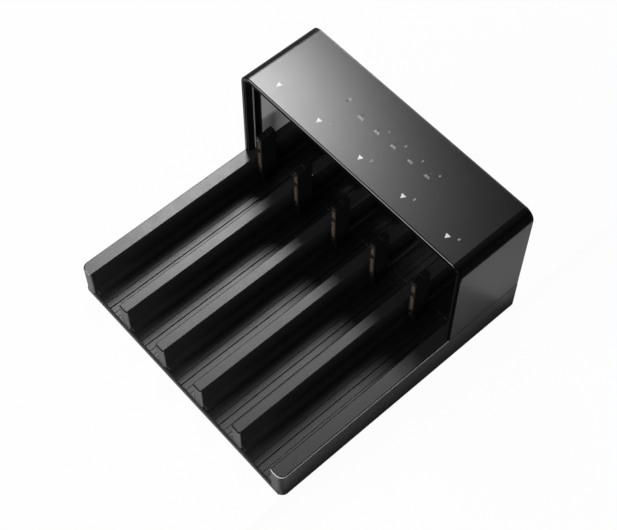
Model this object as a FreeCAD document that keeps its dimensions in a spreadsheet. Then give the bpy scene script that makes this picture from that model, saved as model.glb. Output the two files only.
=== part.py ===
import FreeCAD, Part
import Sketcher
import os

# Five-bay drive duplicator.
# Every piece is laid out from the front left corner of the base, standing on its feet:
# X to the right, Y to the back and Z up. Its Placement then moves it, so that the origin of
# the whole object is the middle of its footprint.

doc = FreeCAD.newDocument("duplicator")
sheet = doc.addObject("Spreadsheet::Sheet", "dim")

SIZES = {
    # Bays and ribs
    "bay_width": 31.7,
    "rib_width": 8.6,
    "side_wall": 11.3,
    "tray_length": 152.7,
    "hood_length": 68.0,
    "foot_height": 1.5,
    "floor_height": 5.5,
    "floor_thick": 1.8,
    "wall_height": 30.0,
    "hood_height": 90.3,
    "skin": 2.0,
    "rib_setback": 1.0,
    "corner_round": 5.5,
    "rib_round": 1.6,
    "lip_round": 1.4,
    "top_bevel": 0.9,
    "foot_fillet": 3.8,
    "seam_setback": 21.3,
    "groove_wide": 0.8,
    "groove_deep": 0.7,
    "groove_middle": 17.4,
    "groove_offset": 5.1,
    "foot_line": 5.2,
    "fit_gap": 0.2,
    "thread_gap": 0.05,
    "running_gap": 0.1,
    "ledge_wide": 3.0,
    "ledge_lap": 4.0,
    # Hood
    "hood_thick": 2.5,
    "hood_round": 8.5,
    "rim_bevel": 0.5,
    "frame_depth": 7.0,
    "frame_thick": 1.5,
    "liner_setback": 14.3,
    "liner_thick": 1.5,
    "shelf_drop": 27.0,
    "shelf_thick": 1.6,
    "shelf_vent_side": 20.0,
    "shelf_vent_front": 14.0,
    "shelf_vent_long": 12.0,
    "shelf_vent_wide": 3.0,
    "shelf_flange": 10.0,
    "liner_ledge": 6.0,
    "rib_bevel": 0.7,
    # Bottom cover and feet
    "cover_thick": 1.5,
    "foot_radius": 7.0,
    "foot_recess": 0.6,
    "foot_inset": 18.0,
    "foot_side": 28.0,
    "vent_wide": 3.0,
    "vent_long": 18.0,
    "vent_pitch": 7.0,
    "vent_front": 100.0,
    # Drive connectors
    "socket_long": 42.7,
    "socket_thick": 5.0,
    "socket_deep": 7.6,
    "socket_offset": 5.4,
    "socket_centre": 33.2,
    "socket_setback": 0.3,
    "signal_slot": 11.3,
    "power_slot": 20.9,
    "power_lift": 1.3,
    "key_reach": 0.9,
    "key_tall": 1.2,
    "notch_drop": 0.8,
    "notch_tall": 1.1,
    "notch_deep": 2.0,
    "slot_wide": 2.4,
    "slot_side": 0.6,
    "peg_zone": 3.2,
    "peg_radius": 1.1,
    "peg_long": 2.8,
    "contact_pitch": 1.27,
    "contact_wide": 0.8,
    "contact_thick": 0.35,
    "contact_setback": 0.8,
    "riser_thick": 1.2,
    "riser_deep": 4.7,
    "riser_drop": 0.4,
    "post_deep": 6.0,
    "post_step": 1.8,
    "post_cap": 0.75,
    # Boards
    "board_thick": 1.2,
    "board_pad": 0.4,
    "link_setback": 3.0,
    "link_back": 22.0,
    "board_inset": 15.0,
    "pad_inset": 6.0,
    "main_setback": 5.0,
    "main_gap": 3.1,
    "main_left": 52.75,
    "main_margin": 26.0,
    "main_thick": 1.6,
    "main_grip": 4.0,
    "main_screw_inset": 5.0,
    "main_screw_back": 12.0,
    "standoff": 5.0,
    "standoff_radius": 2.5,
    "lamp_margin": 8.9,
    "lamp_ahead": 9.8,
    "lamp_behind": 9.2,
    "lamp_screw_inset": 3.8,
    "lamp_drop": 6.0,
    "lamp_setback": 38.9,
    "lamp_first": 67.0,
    "lamp_pitch": 16.04,
    "pipe_radius": 0.9,
    "pipe_flange": 1.6,
    "pipe_gap": 0.2,
    "led_size": 2.4,
    "led_height": 1.2,
    # Screws
    "screw_radius": 1.4,
    "head_radius": 2.6,
    "head_height": 1.2,
    "boss_radius": 2.9,
    "base_grip": 9.0,
    "base_screw_front": 14.0,
    "base_screw_back": 18.0,
    "hood_grip": 7.0,
    "hood_boss_foot": 14.0,
    "hood_boss_side": 5.3,
    "hood_screw_front": 9.0,
    "hood_screw_back": 10.0,
    # Rear panel and its controls
    "panel_inset": 2.3,
    "panel_thick": 2.0,
    "panel_gap": 0.2,
    "panel_screw_side": 6.5,
    "panel_screw_drop": 6.0,
    "panel_post_long": 10.0,
    "panel_grip": 6.0,
    "panel_vent_foot": 14.0,
    "panel_vent_tall": 28.8,
    "post_web": 1.6,
    "tab_half": 8.0,
    "tab_drop": 4.0,
    "port_height": 7.6,
    "rocker_x": 30.75,
    "rocker_radius": 8.9,
    "rocker_tall": 11.4,
    "rocker_face": 5.2,
    "rocker_tilt": 16.0,
    "rocker_floor": 3.0,
    "rocker_gap": 0.3,
    "rocker_sink": 5.1,
    "pivot_radius": 1.2,
    "pivot_long": 0.8,
    "frame_wall": 1.0,
    "frame_lip": 1.3,
    "flange_thick": 1.5,
    "switch_deep": 12.5,
    "blade_long": 6.0,
    "blade_wide": 4.8,
    "blade_thick": 0.8,
    "button_x": 74.75,
    "button_radius": 4.0,
    "button_flange": 5.0,
    "button_rim": 1.1,
    "button_bevel": 0.6,
    "button_proud": 1.6,
    "button_gap": 0.08,
    "button_travel": 0.8,
    "button_spare": 0.6,
    "switch_size": 6.0,
    "switch_body": 4.0,
    "plunger_radius": 1.7,
    "plunger_long": 2.4,
    "usb_x": 112.75,
    "usb_wide": 12.0,
    "usb_tall": 10.9,
    "usb_deep": 16.0,
    "usb_skin": 0.6,
    "usb_proud": 1.0,
    "usb_tongue_recess": 1.5,
    "usb_tongue_wide": 5.6,
    "usb_tongue_tall": 3.2,
    "jack_x": 160.75,
    "jack_wide": 9.2,
    "jack_tall": 11.0,
    "jack_deep": 14.0,
    "jack_bore": 3.15,
    "jack_wall": 1.0,
    "jack_proud": 0.4,
    "jack_floor": 3.0,
    "jack_pin": 1.0,
    # Parts on the boards
    "chip_left": 48.0,
    "chip_front": 4.0,
    "chip_size": 19.0,
    "chip_height": 1.4,
    "memory_left": 78.0,
    "memory_gap": 4.0,
    "memory_size": 11.0,
    "memory_height": 1.1,
    "sink_height": 6.0,
    "sink_base": 1.6,
    "fin_thick": 1.0,
    "fin_count": 7,
    "can_left": 17.0,
    "can_front": 12.0,
    "can_gap": 1.0,
    "can_radius": 3.5,
    "can_height": 7.5,
    "header_left": 14.0,
    "header_back": 8.0,
    "header_long": 24.0,
    "header_thick": 2.5,
    "ribbon_wide": 26.0,
    "ribbon_thick": 0.4,
    "ribbon_x": 137.75,
    "ribbon_back": 2.0,
    "ribbon_lap": 6.0,
    "seat_deep": 4.0,
    "seat_height": 0.8,
    "seat_side": 1.5,
}

for row, (alias, value) in enumerate(SIZES.items(), 1):
    sheet.set(f"A{row}", alias)
    sheet.set(f"B{row}", str(value))
    sheet.setAlias(f"B{row}", alias)
doc.recompute()


# Levels and lengths that follow from the sizes
BAYS = 5
RIBS = BAYS - 1
LAMPS = BAYS + 1
COVER_VENTS = 13
PANEL_VENTS = 25
SHELF_VENTS = 9
width = f"({BAYS}*dim.bay_width + {RIBS}*dim.rib_width + 2*dim.side_wall)"
depth = "(dim.tray_length + dim.hood_length)"
pitch = "(dim.bay_width + dim.rib_width)"
base_z = "dim.foot_height"
cover_top = "(dim.foot_height + dim.cover_thick)"
floor_z = "(dim.foot_height + dim.floor_height)"
under_floor = f"({floor_z} - dim.floor_thick)"
wall_z = "(dim.foot_height + dim.wall_height)"
hood_z = f"({wall_z} + dim.hood_height)"
hood_in = f"({hood_z} - dim.hood_thick)"
seam = "(dim.tray_length + dim.seam_setback)"
liner_front = "(dim.tray_length + dim.liner_setback)"
panel_front = f"({depth} - dim.panel_inset - dim.panel_thick)"
panel_back = f"({depth} - dim.panel_inset)"
shelf_z = f"({hood_in} - dim.shelf_drop)"
shelf_top = f"({shelf_z} + dim.shelf_thick)"
main_z = f"({shelf_top} + dim.standoff)"
main_top = f"({main_z} + dim.main_thick)"
main_front = f"({liner_front} + dim.main_setback)"
main_back = f"({panel_front} - dim.main_gap)"
main_right = f"({width} - dim.main_margin)"
board_z = f"({cover_top} + dim.board_pad)"
board_top = f"({board_z} + dim.board_thick)"
lamp_top = f"({hood_in} - dim.lamp_drop)"
lamp_z = f"({lamp_top} - dim.board_thick)"
lamp_row = "(dim.tray_length + dim.lamp_setback)"
lamp_left = "(dim.lamp_first - dim.lamp_margin)"
lamp_right = f"(dim.lamp_first + {LAMPS - 1}*dim.lamp_pitch + dim.lamp_margin)"
lamp_front = f"({lamp_row} - dim.lamp_ahead)"
lamp_back = f"({lamp_row} + dim.lamp_behind)"
liner_foot = f"({wall_z} + dim.liner_thick)"
socket_z = f"({floor_z} + dim.socket_centre - dim.socket_long/2)"
socket_top = f"({socket_z} + dim.socket_long)"
socket_front = "(dim.tray_length + dim.socket_setback)"
socket_back = f"({socket_front} + dim.socket_deep)"
riser_front = f"({socket_back} + dim.running_gap)"
peg_levels = (f"{socket_z} + dim.peg_zone/2", f"{socket_top} - dim.peg_zone/2")
thread = "dim.screw_radius + dim.thread_gap"
clear = "dim.screw_radius + dim.fit_gap"
boss_room = "dim.boss_radius + dim.fit_gap"
ribbon_y = f"({panel_front} - dim.ribbon_back)"
ribbon_half = "(dim.ribbon_wide/2 + dim.fit_gap)"
ribbon_room = (f"dim.ribbon_x - {ribbon_half}", f"dim.ribbon_x + {ribbon_half}")
board_front = f"({socket_front} + dim.link_setback)"
board_back = f"({depth} - dim.link_back)"
port_z = f"({main_top} + dim.port_height)"
jack_z = f"({main_top} + dim.jack_tall/2)"
button_z = f"({main_top} + dim.switch_size/2)"

parts = {}
made = {}


def unique(name):
    """A document name that no other object has yet."""
    made[name] = made.get(name, 0) + 1
    return f"{name}_{made[name]}"


def bind(thing, **links):
    """Tie properties of an object to expressions; X, Y and Z are its place."""
    for prop, expression in links.items():
        path = f"Placement.Base.{prop.lower()}" if prop in "XYZ" else prop
        thing.setExpression(path, str(expression))
    return thing


def block(x, y, z, name="block"):
    """A box between two expressions along each axis."""
    box = doc.addObject("Part::Box", unique(name))
    bind(box, Length=f"({x[1]}) - ({x[0]})", Width=f"({y[1]}) - ({y[0]})", Height=f"({z[1]}) - ({z[0]})")
    return bind(box, X=x[0], Y=y[0], Z=z[0])


TURNS = {
    "Z": FreeCAD.Rotation(),
    "X": FreeCAD.Rotation(FreeCAD.Vector(0, 1, 0), 90),
    "Y": FreeCAD.Rotation(FreeCAD.Vector(1, 0, 0), -90),
}


def rod(axis, radius, place, length, name="rod"):
    """A cylinder that starts at a place and runs along an axis."""
    cylinder = doc.addObject("Part::Cylinder", unique(name))
    cylinder.Placement = FreeCAD.Placement(FreeCAD.Vector(), TURNS[axis])
    bind(cylinder, Radius=radius, Height=length)
    return bind(cylinder, X=place[0], Y=place[1], Z=place[2])


def fuse(pieces, name="fuse"):
    """One solid from several that touch or overlap."""
    if len(pieces) == 1:
        return pieces[0]
    union = doc.addObject("Part::MultiFuse", unique(name))
    union.Shapes = pieces
    union.Refine = True
    return union


def cut(base, tools, name="cut"):
    """The base with the tools taken away."""
    result = doc.addObject("Part::Cut", unique(name))
    result.Base = base
    result.Tool = tools[0] if len(tools) == 1 else group(tools)
    result.Refine = True
    return result


def group(pieces, name="group"):
    """Separate solids kept together."""
    compound = doc.addObject("Part::Compound", unique(name))
    compound.Links = pieces
    return compound


def edges_along(shape, axis, wanted):
    """Numbers of the straight edges along an axis whose middle passes a test."""
    found = []
    for number, edge in enumerate(shape.Edges, 1):
        if len(edge.Vertexes) != 2 or edge.Curve.TypeId != "Part::GeomLine":
            continue
        run = edge.Vertexes[1].Point - edge.Vertexes[0].Point
        if abs(getattr(run, axis)) < 0.999 * run.Length:
            continue
        if wanted(edge.CenterOfMass):
            found.append(number)
    return found


def value(expression):
    """The number that an expression gives with the present sizes."""
    return float(sheet.evalExpression(expression))


def round_edges(base, axis, wanted, radius, kind="Part::Fillet"):
    """Round or bevel the edges along an axis that pass a test."""
    doc.recompute()
    result = doc.addObject(kind, unique("edge"))
    result.Base = base
    size = value(radius)
    result.Edges = [(number, size, size) for number in edges_along(base.Shape, axis, wanted)]
    return result


def near(a, b):
    return abs(a - b) < 0.01


def finish(label, piece):
    """Name a finished sub-part and move it from the layout corner to the object's origin."""
    piece.Label = label
    own = {path.lstrip("."): expression for path, expression in piece.ExpressionEngine}
    bind(piece, X=f"({own.get('Placement.Base.x', '0')}) - {width}/2",
         Y=f"({own.get('Placement.Base.y', '0')}) - {depth}/2")
    parts[label] = piece
    return piece


def new_body(label):
    body = doc.addObject("PartDesign::Body", label)
    body.Label = label
    return body


def origin_plane(body, role):
    for feature in body.Origin.OriginFeatures:
        if feature.Role == role:
            return feature
    raise RuntimeError(f"no plane {role}")


def sketch_on(body, role, offset, name):
    """A sketch on one of the body's own planes, moved along the plane's normal."""
    sketch = body.newObject("Sketcher::SketchObject", unique(name))
    sketch.AttachmentSupport = [(origin_plane(body, role), "")]
    sketch.MapMode = "FlatFace"
    sketch.setExpression("AttachmentOffset.Base.z", str(offset))
    return sketch


def polygon(sketch, points):
    """A closed outline whose corners are all held by expressions."""
    corners = [FreeCAD.Vector(value(u), value(v), 0) for u, v in points]
    first = sketch.GeometryCount
    count = len(corners)
    for i, corner in enumerate(corners):
        sketch.addGeometry(Part.LineSegment(corner, corners[(i + 1) % count]), False)
    for i in range(count):
        after = (i + 1) % count
        sketch.addConstraint(Sketcher.Constraint("Coincident", first + i, 2, first + after, 1))
    for i, (u, v) in enumerate(points):
        for kind, expression in (("DistanceX", u), ("DistanceY", v)):
            amount = value(expression)
            number = sketch.addConstraint(Sketcher.Constraint(kind, -1, 1, first + i, 1, amount))
            sketch.setExpression(f"Constraints[{number}]", str(expression))
    return sketch


def bay_left(bay):
    return f"(dim.side_wall + {bay}*{pitch})"


def bay_right(bay):
    return f"({bay_left(bay)} + dim.bay_width)"


def socket_x(bay):
    """The middle plane of the connector in a bay."""
    return f"({bay_left(bay)} + dim.socket_offset)"


def top_edges(shape, level):
    """Numbers of all edges that lie in a level plane."""
    found = []
    for number, edge in enumerate(shape.Edges, 1):
        box = edge.BoundBox
        if near(box.ZMin, level) and near(box.ZMax, level):
            found.append(number)
    return found


def bevel_top(base, level, size):
    """Bevel every edge at a level."""
    doc.recompute()
    result = doc.addObject("Part::Chamfer", unique("bevel"))
    result.Base = base
    amount = value(size)
    result.Edges = [(number, amount, amount) for number in top_edges(base.Shape, value(level))]
    return result


def foot_strip(x, side, y):
    """The hollow round between a bay floor and one of its walls."""
    near_x = x if side > 0 else f"{x} - dim.foot_fillet"
    far_x = f"{x} + dim.foot_fillet" if side > 0 else x
    corner = block((near_x, far_x), y, (floor_z, f"{floor_z} + dim.foot_fillet"), "foot_strip")
    centre_x = far_x if side > 0 else near_x
    length = f"({y[1]}) - ({y[0]})"
    hollow = rod("Y", "dim.foot_fillet", (centre_x, y[0], f"{floor_z} + dim.foot_fillet"), length)
    return cut(corner, [hollow], "foot_strip")


def rib(index, y, rounded):
    """One rib between two bays, with its front corners rounded where they show."""
    x = (bay_right(index), bay_left(index + 1))
    solid = block(x, y, (under_floor, wall_z), "rib")
    if rounded:
        front = value(y[0])
        solid = round_edges(solid, "z", lambda middle: near(middle.y, front), "dim.rib_round")
    return bevel_top(solid, wall_z, "dim.rib_bevel")


def rib_hollow(index, y):
    x = (f"{bay_right(index)} + dim.skin", f"{bay_left(index + 1)} - dim.skin")
    return block(x, y, (f"{under_floor} - 1", f"{wall_z} - dim.skin"), "rib_hollow")


def floor_grooves(y):
    """Fine lines along each bay: a deep one, a shallow one on each side of it, and two by the walls."""
    lines = []
    for bay in range(BAYS):
        middle = f"({bay_left(bay)} + dim.groove_middle)"
        places = [(middle, "1")]
        places += [(f"({middle} {sign} dim.groove_offset)", "0.5") for sign in "+-"]
        places.append((f"({bay_left(bay)} + dim.foot_line)", "0.4"))
        places.append((f"({bay_right(bay)} - dim.foot_line)", "0.4"))
        for x, share in places:
            half = f"{share}*dim.groove_wide/2"
            z = (f"{floor_z} - {share}*dim.groove_deep", f"{floor_z} + 0.1")
            lines.append(block((f"{x} - {half}", f"{x} + {half}"), y, z, "groove"))
    return lines


def riser_slot(bay, z):
    x = socket_x(bay)
    half = "(dim.riser_thick/2 + dim.fit_gap)"
    y = (f"{socket_back} - dim.fit_gap", f"{riser_front} + dim.riser_deep + dim.fit_gap")
    return block((f"{x} - {half}", f"{x} + {half}"), y, z, "riser_slot")


def post_room(bay):
    """Room for a connector post in the hollow round beside a rib."""
    x = socket_x(bay)
    half = "(dim.socket_thick/2 + dim.fit_gap)"
    y = (f"{socket_front} + dim.post_step - dim.fit_gap", f"{socket_back} + dim.post_deep + dim.fit_gap")
    z = (floor_z, f"{floor_z} + dim.foot_fillet")
    return block((f"{x} - {half}", f"{x} + {half}"), y, z, "post_room")


def side_wall(left):
    """A long side wall of the base with rounded corners and a bevelled top."""
    x = ("0", "dim.side_wall") if left else (f"{width} - dim.side_wall", width)
    solid = block(x, ("0", depth), (base_z, wall_z), "side_wall")
    outer = 0.0 if left else value(width)
    inner = value(x[1] if left else x[0])
    solid = round_edges(solid, "z", lambda middle: near(middle.x, outer) and middle.y < 1, "dim.corner_round")
    solid = round_edges(solid, "z", lambda middle: near(middle.x, inner) and middle.y < 1, "dim.rib_round")
    return bevel_top(solid, wall_z, "dim.top_bevel")


def side_hollow(left):
    x = ("dim.skin", "dim.side_wall - dim.skin")
    if not left:
        x = (f"{width} - dim.side_wall + dim.skin", f"{width} - dim.skin")
    y = ("2*dim.skin", f"{depth} - 2*dim.skin")
    return block(x, y, (f"{base_z} - 1", f"{wall_z} - dim.skin"), "side_hollow")


def mirrored_x(x):
    return (x, f"({width} - {x})")


side_middle = mirrored_x("dim.side_wall/2")
hood_boss_x = mirrored_x("dim.hood_boss_side")
base_screw_y = ("dim.base_screw_front", f"({depth}/2)", f"({depth} - dim.base_screw_back)")
hood_screw_y = (f"({liner_front} + dim.hood_screw_front)", f"({depth} - dim.hood_screw_back)")
base_screw_places = [(x, y) for x in side_middle for y in base_screw_y]
hood_screw_places = [(x, y) for x in hood_boss_x for y in hood_screw_y]
foot_y = ("dim.foot_inset", f"({depth} - dim.foot_inset)")
foot_places = [(x, y) for x in mirrored_x("dim.foot_side") for y in foot_y]
lamp_x = [f"(dim.lamp_first + {i}*dim.lamp_pitch)" for i in range(LAMPS)]
lamp_screw_x = (f"({lamp_left} + dim.lamp_screw_inset)", f"({lamp_right} - dim.lamp_screw_inset)")
lamp_screw_y = (f"({lamp_front} + dim.lamp_screw_inset)", f"({lamp_back} - dim.lamp_screw_inset)")
lamp_screw_places = [(x, y) for x in lamp_screw_x for y in lamp_screw_y]
main_screw_x = ("(dim.main_left + dim.main_screw_inset)", f"({main_right} - dim.main_screw_inset)")
main_screw_y = (f"({main_front} + dim.main_screw_inset)", f"({main_back} - dim.main_screw_back)")
main_screw_places = [(x, y) for x in main_screw_x for y in main_screw_y]
panel_screw_x = mirrored_x("(dim.hood_thick + dim.panel_screw_side)")
panel_screw_z = f"({hood_in} - dim.panel_screw_drop)"


# Base tray: front bar, floor, ribs and side walls in one moulding
def make_bay_tray():
    inside = ("dim.side_wall - 0.5", f"{width} - dim.side_wall + 0.5")
    bar = block(("dim.rib_round*2", f"{width} - dim.rib_round*2"), ("0", "dim.skin + dim.lip_round"),
                (base_z, floor_z), "front_bar")
    high = value(floor_z)
    bar = round_edges(bar, "x", lambda middle: near(middle.y, 0) and near(middle.z, high), "dim.lip_round")
    floor = block(inside, ("dim.lip_round", seam), (under_floor, floor_z), "tray_floor")
    rear = block(inside, (f"{depth} - dim.skin", depth), (base_z, wall_z), "tray_rear")
    rib_y = ("dim.rib_setback", seam)
    strip_y = ("dim.rib_setback + dim.rib_round", seam)
    ribs = [rib(index, rib_y, True) for index in range(RIBS)]
    strips = []
    for bay in range(BAYS):
        strips.append(foot_strip(bay_left(bay), 1, strip_y))
        strips.append(foot_strip(bay_right(bay), -1, strip_y))
    ledge_y = (f"{seam} - dim.ledge_lap", f"{depth} - dim.skin")
    ledge_z = (f"{under_floor} - dim.floor_thick", under_floor)
    ledge_x = [(inside[0], "dim.side_wall + dim.ledge_wide"),
               (f"{width} - dim.side_wall - dim.ledge_wide", inside[1])]
    ledges = [block(x, ledge_y, ledge_z, "ledge") for x in ledge_x]
    outer = fuse([side_wall(True), side_wall(False), bar, floor, rear] + ledges + ribs + strips)
    hollows = [side_hollow(True), side_hollow(False)]
    hollows += [rib_hollow(index, ("2*dim.skin", f"{seam} - dim.skin")) for index in range(RIBS)]
    shell = cut(outer, hollows)
    bosses = [rod("Z", "dim.boss_radius", (x, y, cover_top), f"{wall_z} - dim.skin/2 - {cover_top}", "boss")
              for x, y in base_screw_places]
    tray = fuse([shell] + bosses)
    bores = [rod("Z", thread, (x, y, f"{cover_top} - 1"), "dim.base_grip + 2", "bore")
             for x, y in base_screw_places]
    bores += [rod("Z", boss_room, (x, y, f"{wall_z} - 2*dim.skin"), "3*dim.skin", "boss_hole")
              for x, y in hood_screw_places]
    slots = [riser_slot(bay, (f"{under_floor} - 1", f"{floor_z} + 1")) for bay in range(BAYS)]
    rooms = [post_room(bay) for bay in range(BAYS)]
    seat = block(("dim.skin", f"{width} - dim.skin"), ("dim.skin", f"{depth} - dim.skin"),
                 (f"{base_z} - 1", cover_top), "cover_seat")
    seat = round_edges(seat, "z", lambda middle: True, "dim.corner_round - dim.skin")
    grooved = cut(tray, floor_grooves(("-1", seam)))
    roomy = cut(grooved, rooms + [seat])
    return finish("bay_tray", cut(roomy, bores + slots, "bay_tray"))


# Rear deck: the same floor and ribs under the hood, as a second moulding
def make_rear_deck():
    y = (f"{seam} + dim.fit_gap", f"{depth} - dim.skin - dim.fit_gap")
    x = ("dim.side_wall + dim.fit_gap", f"{width} - dim.side_wall - dim.fit_gap")
    floor = block(x, y, (under_floor, floor_z), "deck_floor")
    rib_y = (y[0], f"{panel_front} - dim.fit_gap")
    ribs = [rib(index, rib_y, False) for index in range(RIBS)]
    strips = []
    for bay in range(BAYS):
        left_x = f"{bay_left(bay)} + dim.fit_gap" if bay == 0 else bay_left(bay)
        right_x = f"{bay_right(bay)} - dim.fit_gap" if bay == BAYS - 1 else bay_right(bay)
        strips.append(foot_strip(left_x, 1, rib_y))
        strips.append(foot_strip(right_x, -1, rib_y))
    hollows = [rib_hollow(index, (f"{y[0]} + dim.skin", f"{rib_y[1]} - dim.skin")) for index in range(RIBS)]
    slot = block(ribbon_room, (f"{ribbon_y} - 2*dim.ribbon_thick", f"{ribbon_y} + 2*dim.ribbon_thick"),
                 (f"{under_floor} - 1", f"{wall_z} + 1"), "ribbon_slot")
    deck = cut(fuse([floor] + ribs + strips), hollows)
    grooves = floor_grooves((f"{y[0]} - 1", f"{y[1]} + 1"))
    return finish("rear_deck", cut(deck, [slot] + grooves, "rear_deck"))


# Bottom cover: a flat plate inside the base walls, with vents, screw holes and foot seats
def make_bottom_cover():
    margin = "(dim.skin + dim.fit_gap)"
    body = new_body("bottom_cover_body")
    sketch = sketch_on(body, "XY_Plane", base_z, "cover_outline")
    far_x, far_y = f"{width} - {margin}", f"{depth} - {margin}"
    polygon(sketch, [(margin, margin), (far_x, margin), (far_x, far_y), (margin, far_y)])
    pad = body.newObject("PartDesign::Pad", "cover_plate")
    pad.Profile = sketch
    pad.setExpression("Length", "dim.cover_thick")
    doc.recompute()
    rounded = body.newObject("PartDesign::Fillet", "cover_corners")
    rounded.Base = (pad, [f"Edge{number}" for number in edges_along(pad.Shape, "z", lambda middle: True)])
    rounded.setExpression("Radius", "dim.corner_round - dim.skin - dim.fit_gap")
    doc.recompute()
    vents = sketch_on(body, "XY_Plane", f"{base_z} - 1", "vent_outline")
    start_x = f"({width}/2 - {COVER_VENTS // 2}*dim.vent_pitch)"
    end_x = f"{start_x} + dim.vent_wide"
    vent_back = "dim.vent_front + dim.vent_long"
    polygon(vents, [(start_x, "dim.vent_front"), (end_x, "dim.vent_front"),
                    (end_x, vent_back), (start_x, vent_back)])
    slot = body.newObject("PartDesign::Pocket", "vent_slot")
    slot.Profile = vents
    slot.Type = 1
    slot.Midplane = True
    row_of_slots = body.newObject("PartDesign::LinearPattern", "vent_row")
    row_of_slots.Originals = [slot]
    row_of_slots.Direction = (vents, ["H_Axis"])
    row_of_slots.setExpression("Length", f"{COVER_VENTS - 1}*dim.vent_pitch")
    row_of_slots.Occurrences = COVER_VENTS
    body.Tip = row_of_slots
    doc.recompute()
    pads = []
    for x in mirrored_x("(dim.board_inset + dim.pad_inset)"):
        for y in (f"({board_front} + dim.pad_inset)", f"({board_back} - dim.pad_inset)"):
            foot = (x, y, f"{cover_top} - 0.5")
            pads.append(rod("Z", "dim.standoff_radius", foot, "dim.board_pad + 0.5", "board_pad"))
    holes = [rod("Z", clear, (x, y, f"{base_z} - 1"), "3*dim.cover_thick", "hole")
             for x, y in base_screw_places + hood_screw_places]
    foot_room = "dim.foot_radius + dim.thread_gap"
    holes += [rod("Z", foot_room, (x, y, f"{base_z} - 1"), "1 + dim.foot_recess", "seat")
              for x, y in foot_places]
    return finish("bottom_cover", cut(fuse([body] + pads), holes, "bottom_cover"))


def make_rubber_feet():
    feet = []
    for x, y in foot_places:
        disc = rod("Z", "dim.foot_radius", (x, y, "0"), "dim.foot_height + dim.foot_recess", "foot")
        feet.append(disc)
    return finish("rubber_feet", group(feet, "rubber_feet"))


def screw(axis, place, grip, sign=1, name="screw"):
    """A pan-head screw whose head lies under the place and whose shank runs along the axis."""
    at = {"X": 0, "Y": 1, "Z": 2}[axis]
    head_place = list(place)
    shank_place = list(place)
    if sign > 0:
        head_place[at] = f"{place[at]} - dim.head_height"
    else:
        shank_place[at] = f"{place[at]} - ({grip})"
    head = rod(axis, "dim.head_radius", head_place, "dim.head_height", f"{name}_head")
    shank = rod(axis, "dim.screw_radius", shank_place, grip, f"{name}_shank")
    return fuse([head, shank], name)


def make_case_screws():
    base = [screw("Z", (x, y, base_z), "dim.cover_thick + dim.base_grip") for x, y in base_screw_places]
    finish("base_screws", group(base, "base_screws"))
    grip = f"dim.hood_boss_foot + dim.hood_grip - {base_z}"
    hood = [screw("Z", (x, y, base_z), grip) for x, y in hood_screw_places]
    finish("hood_screws", group(hood, "hood_screws"))


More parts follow.
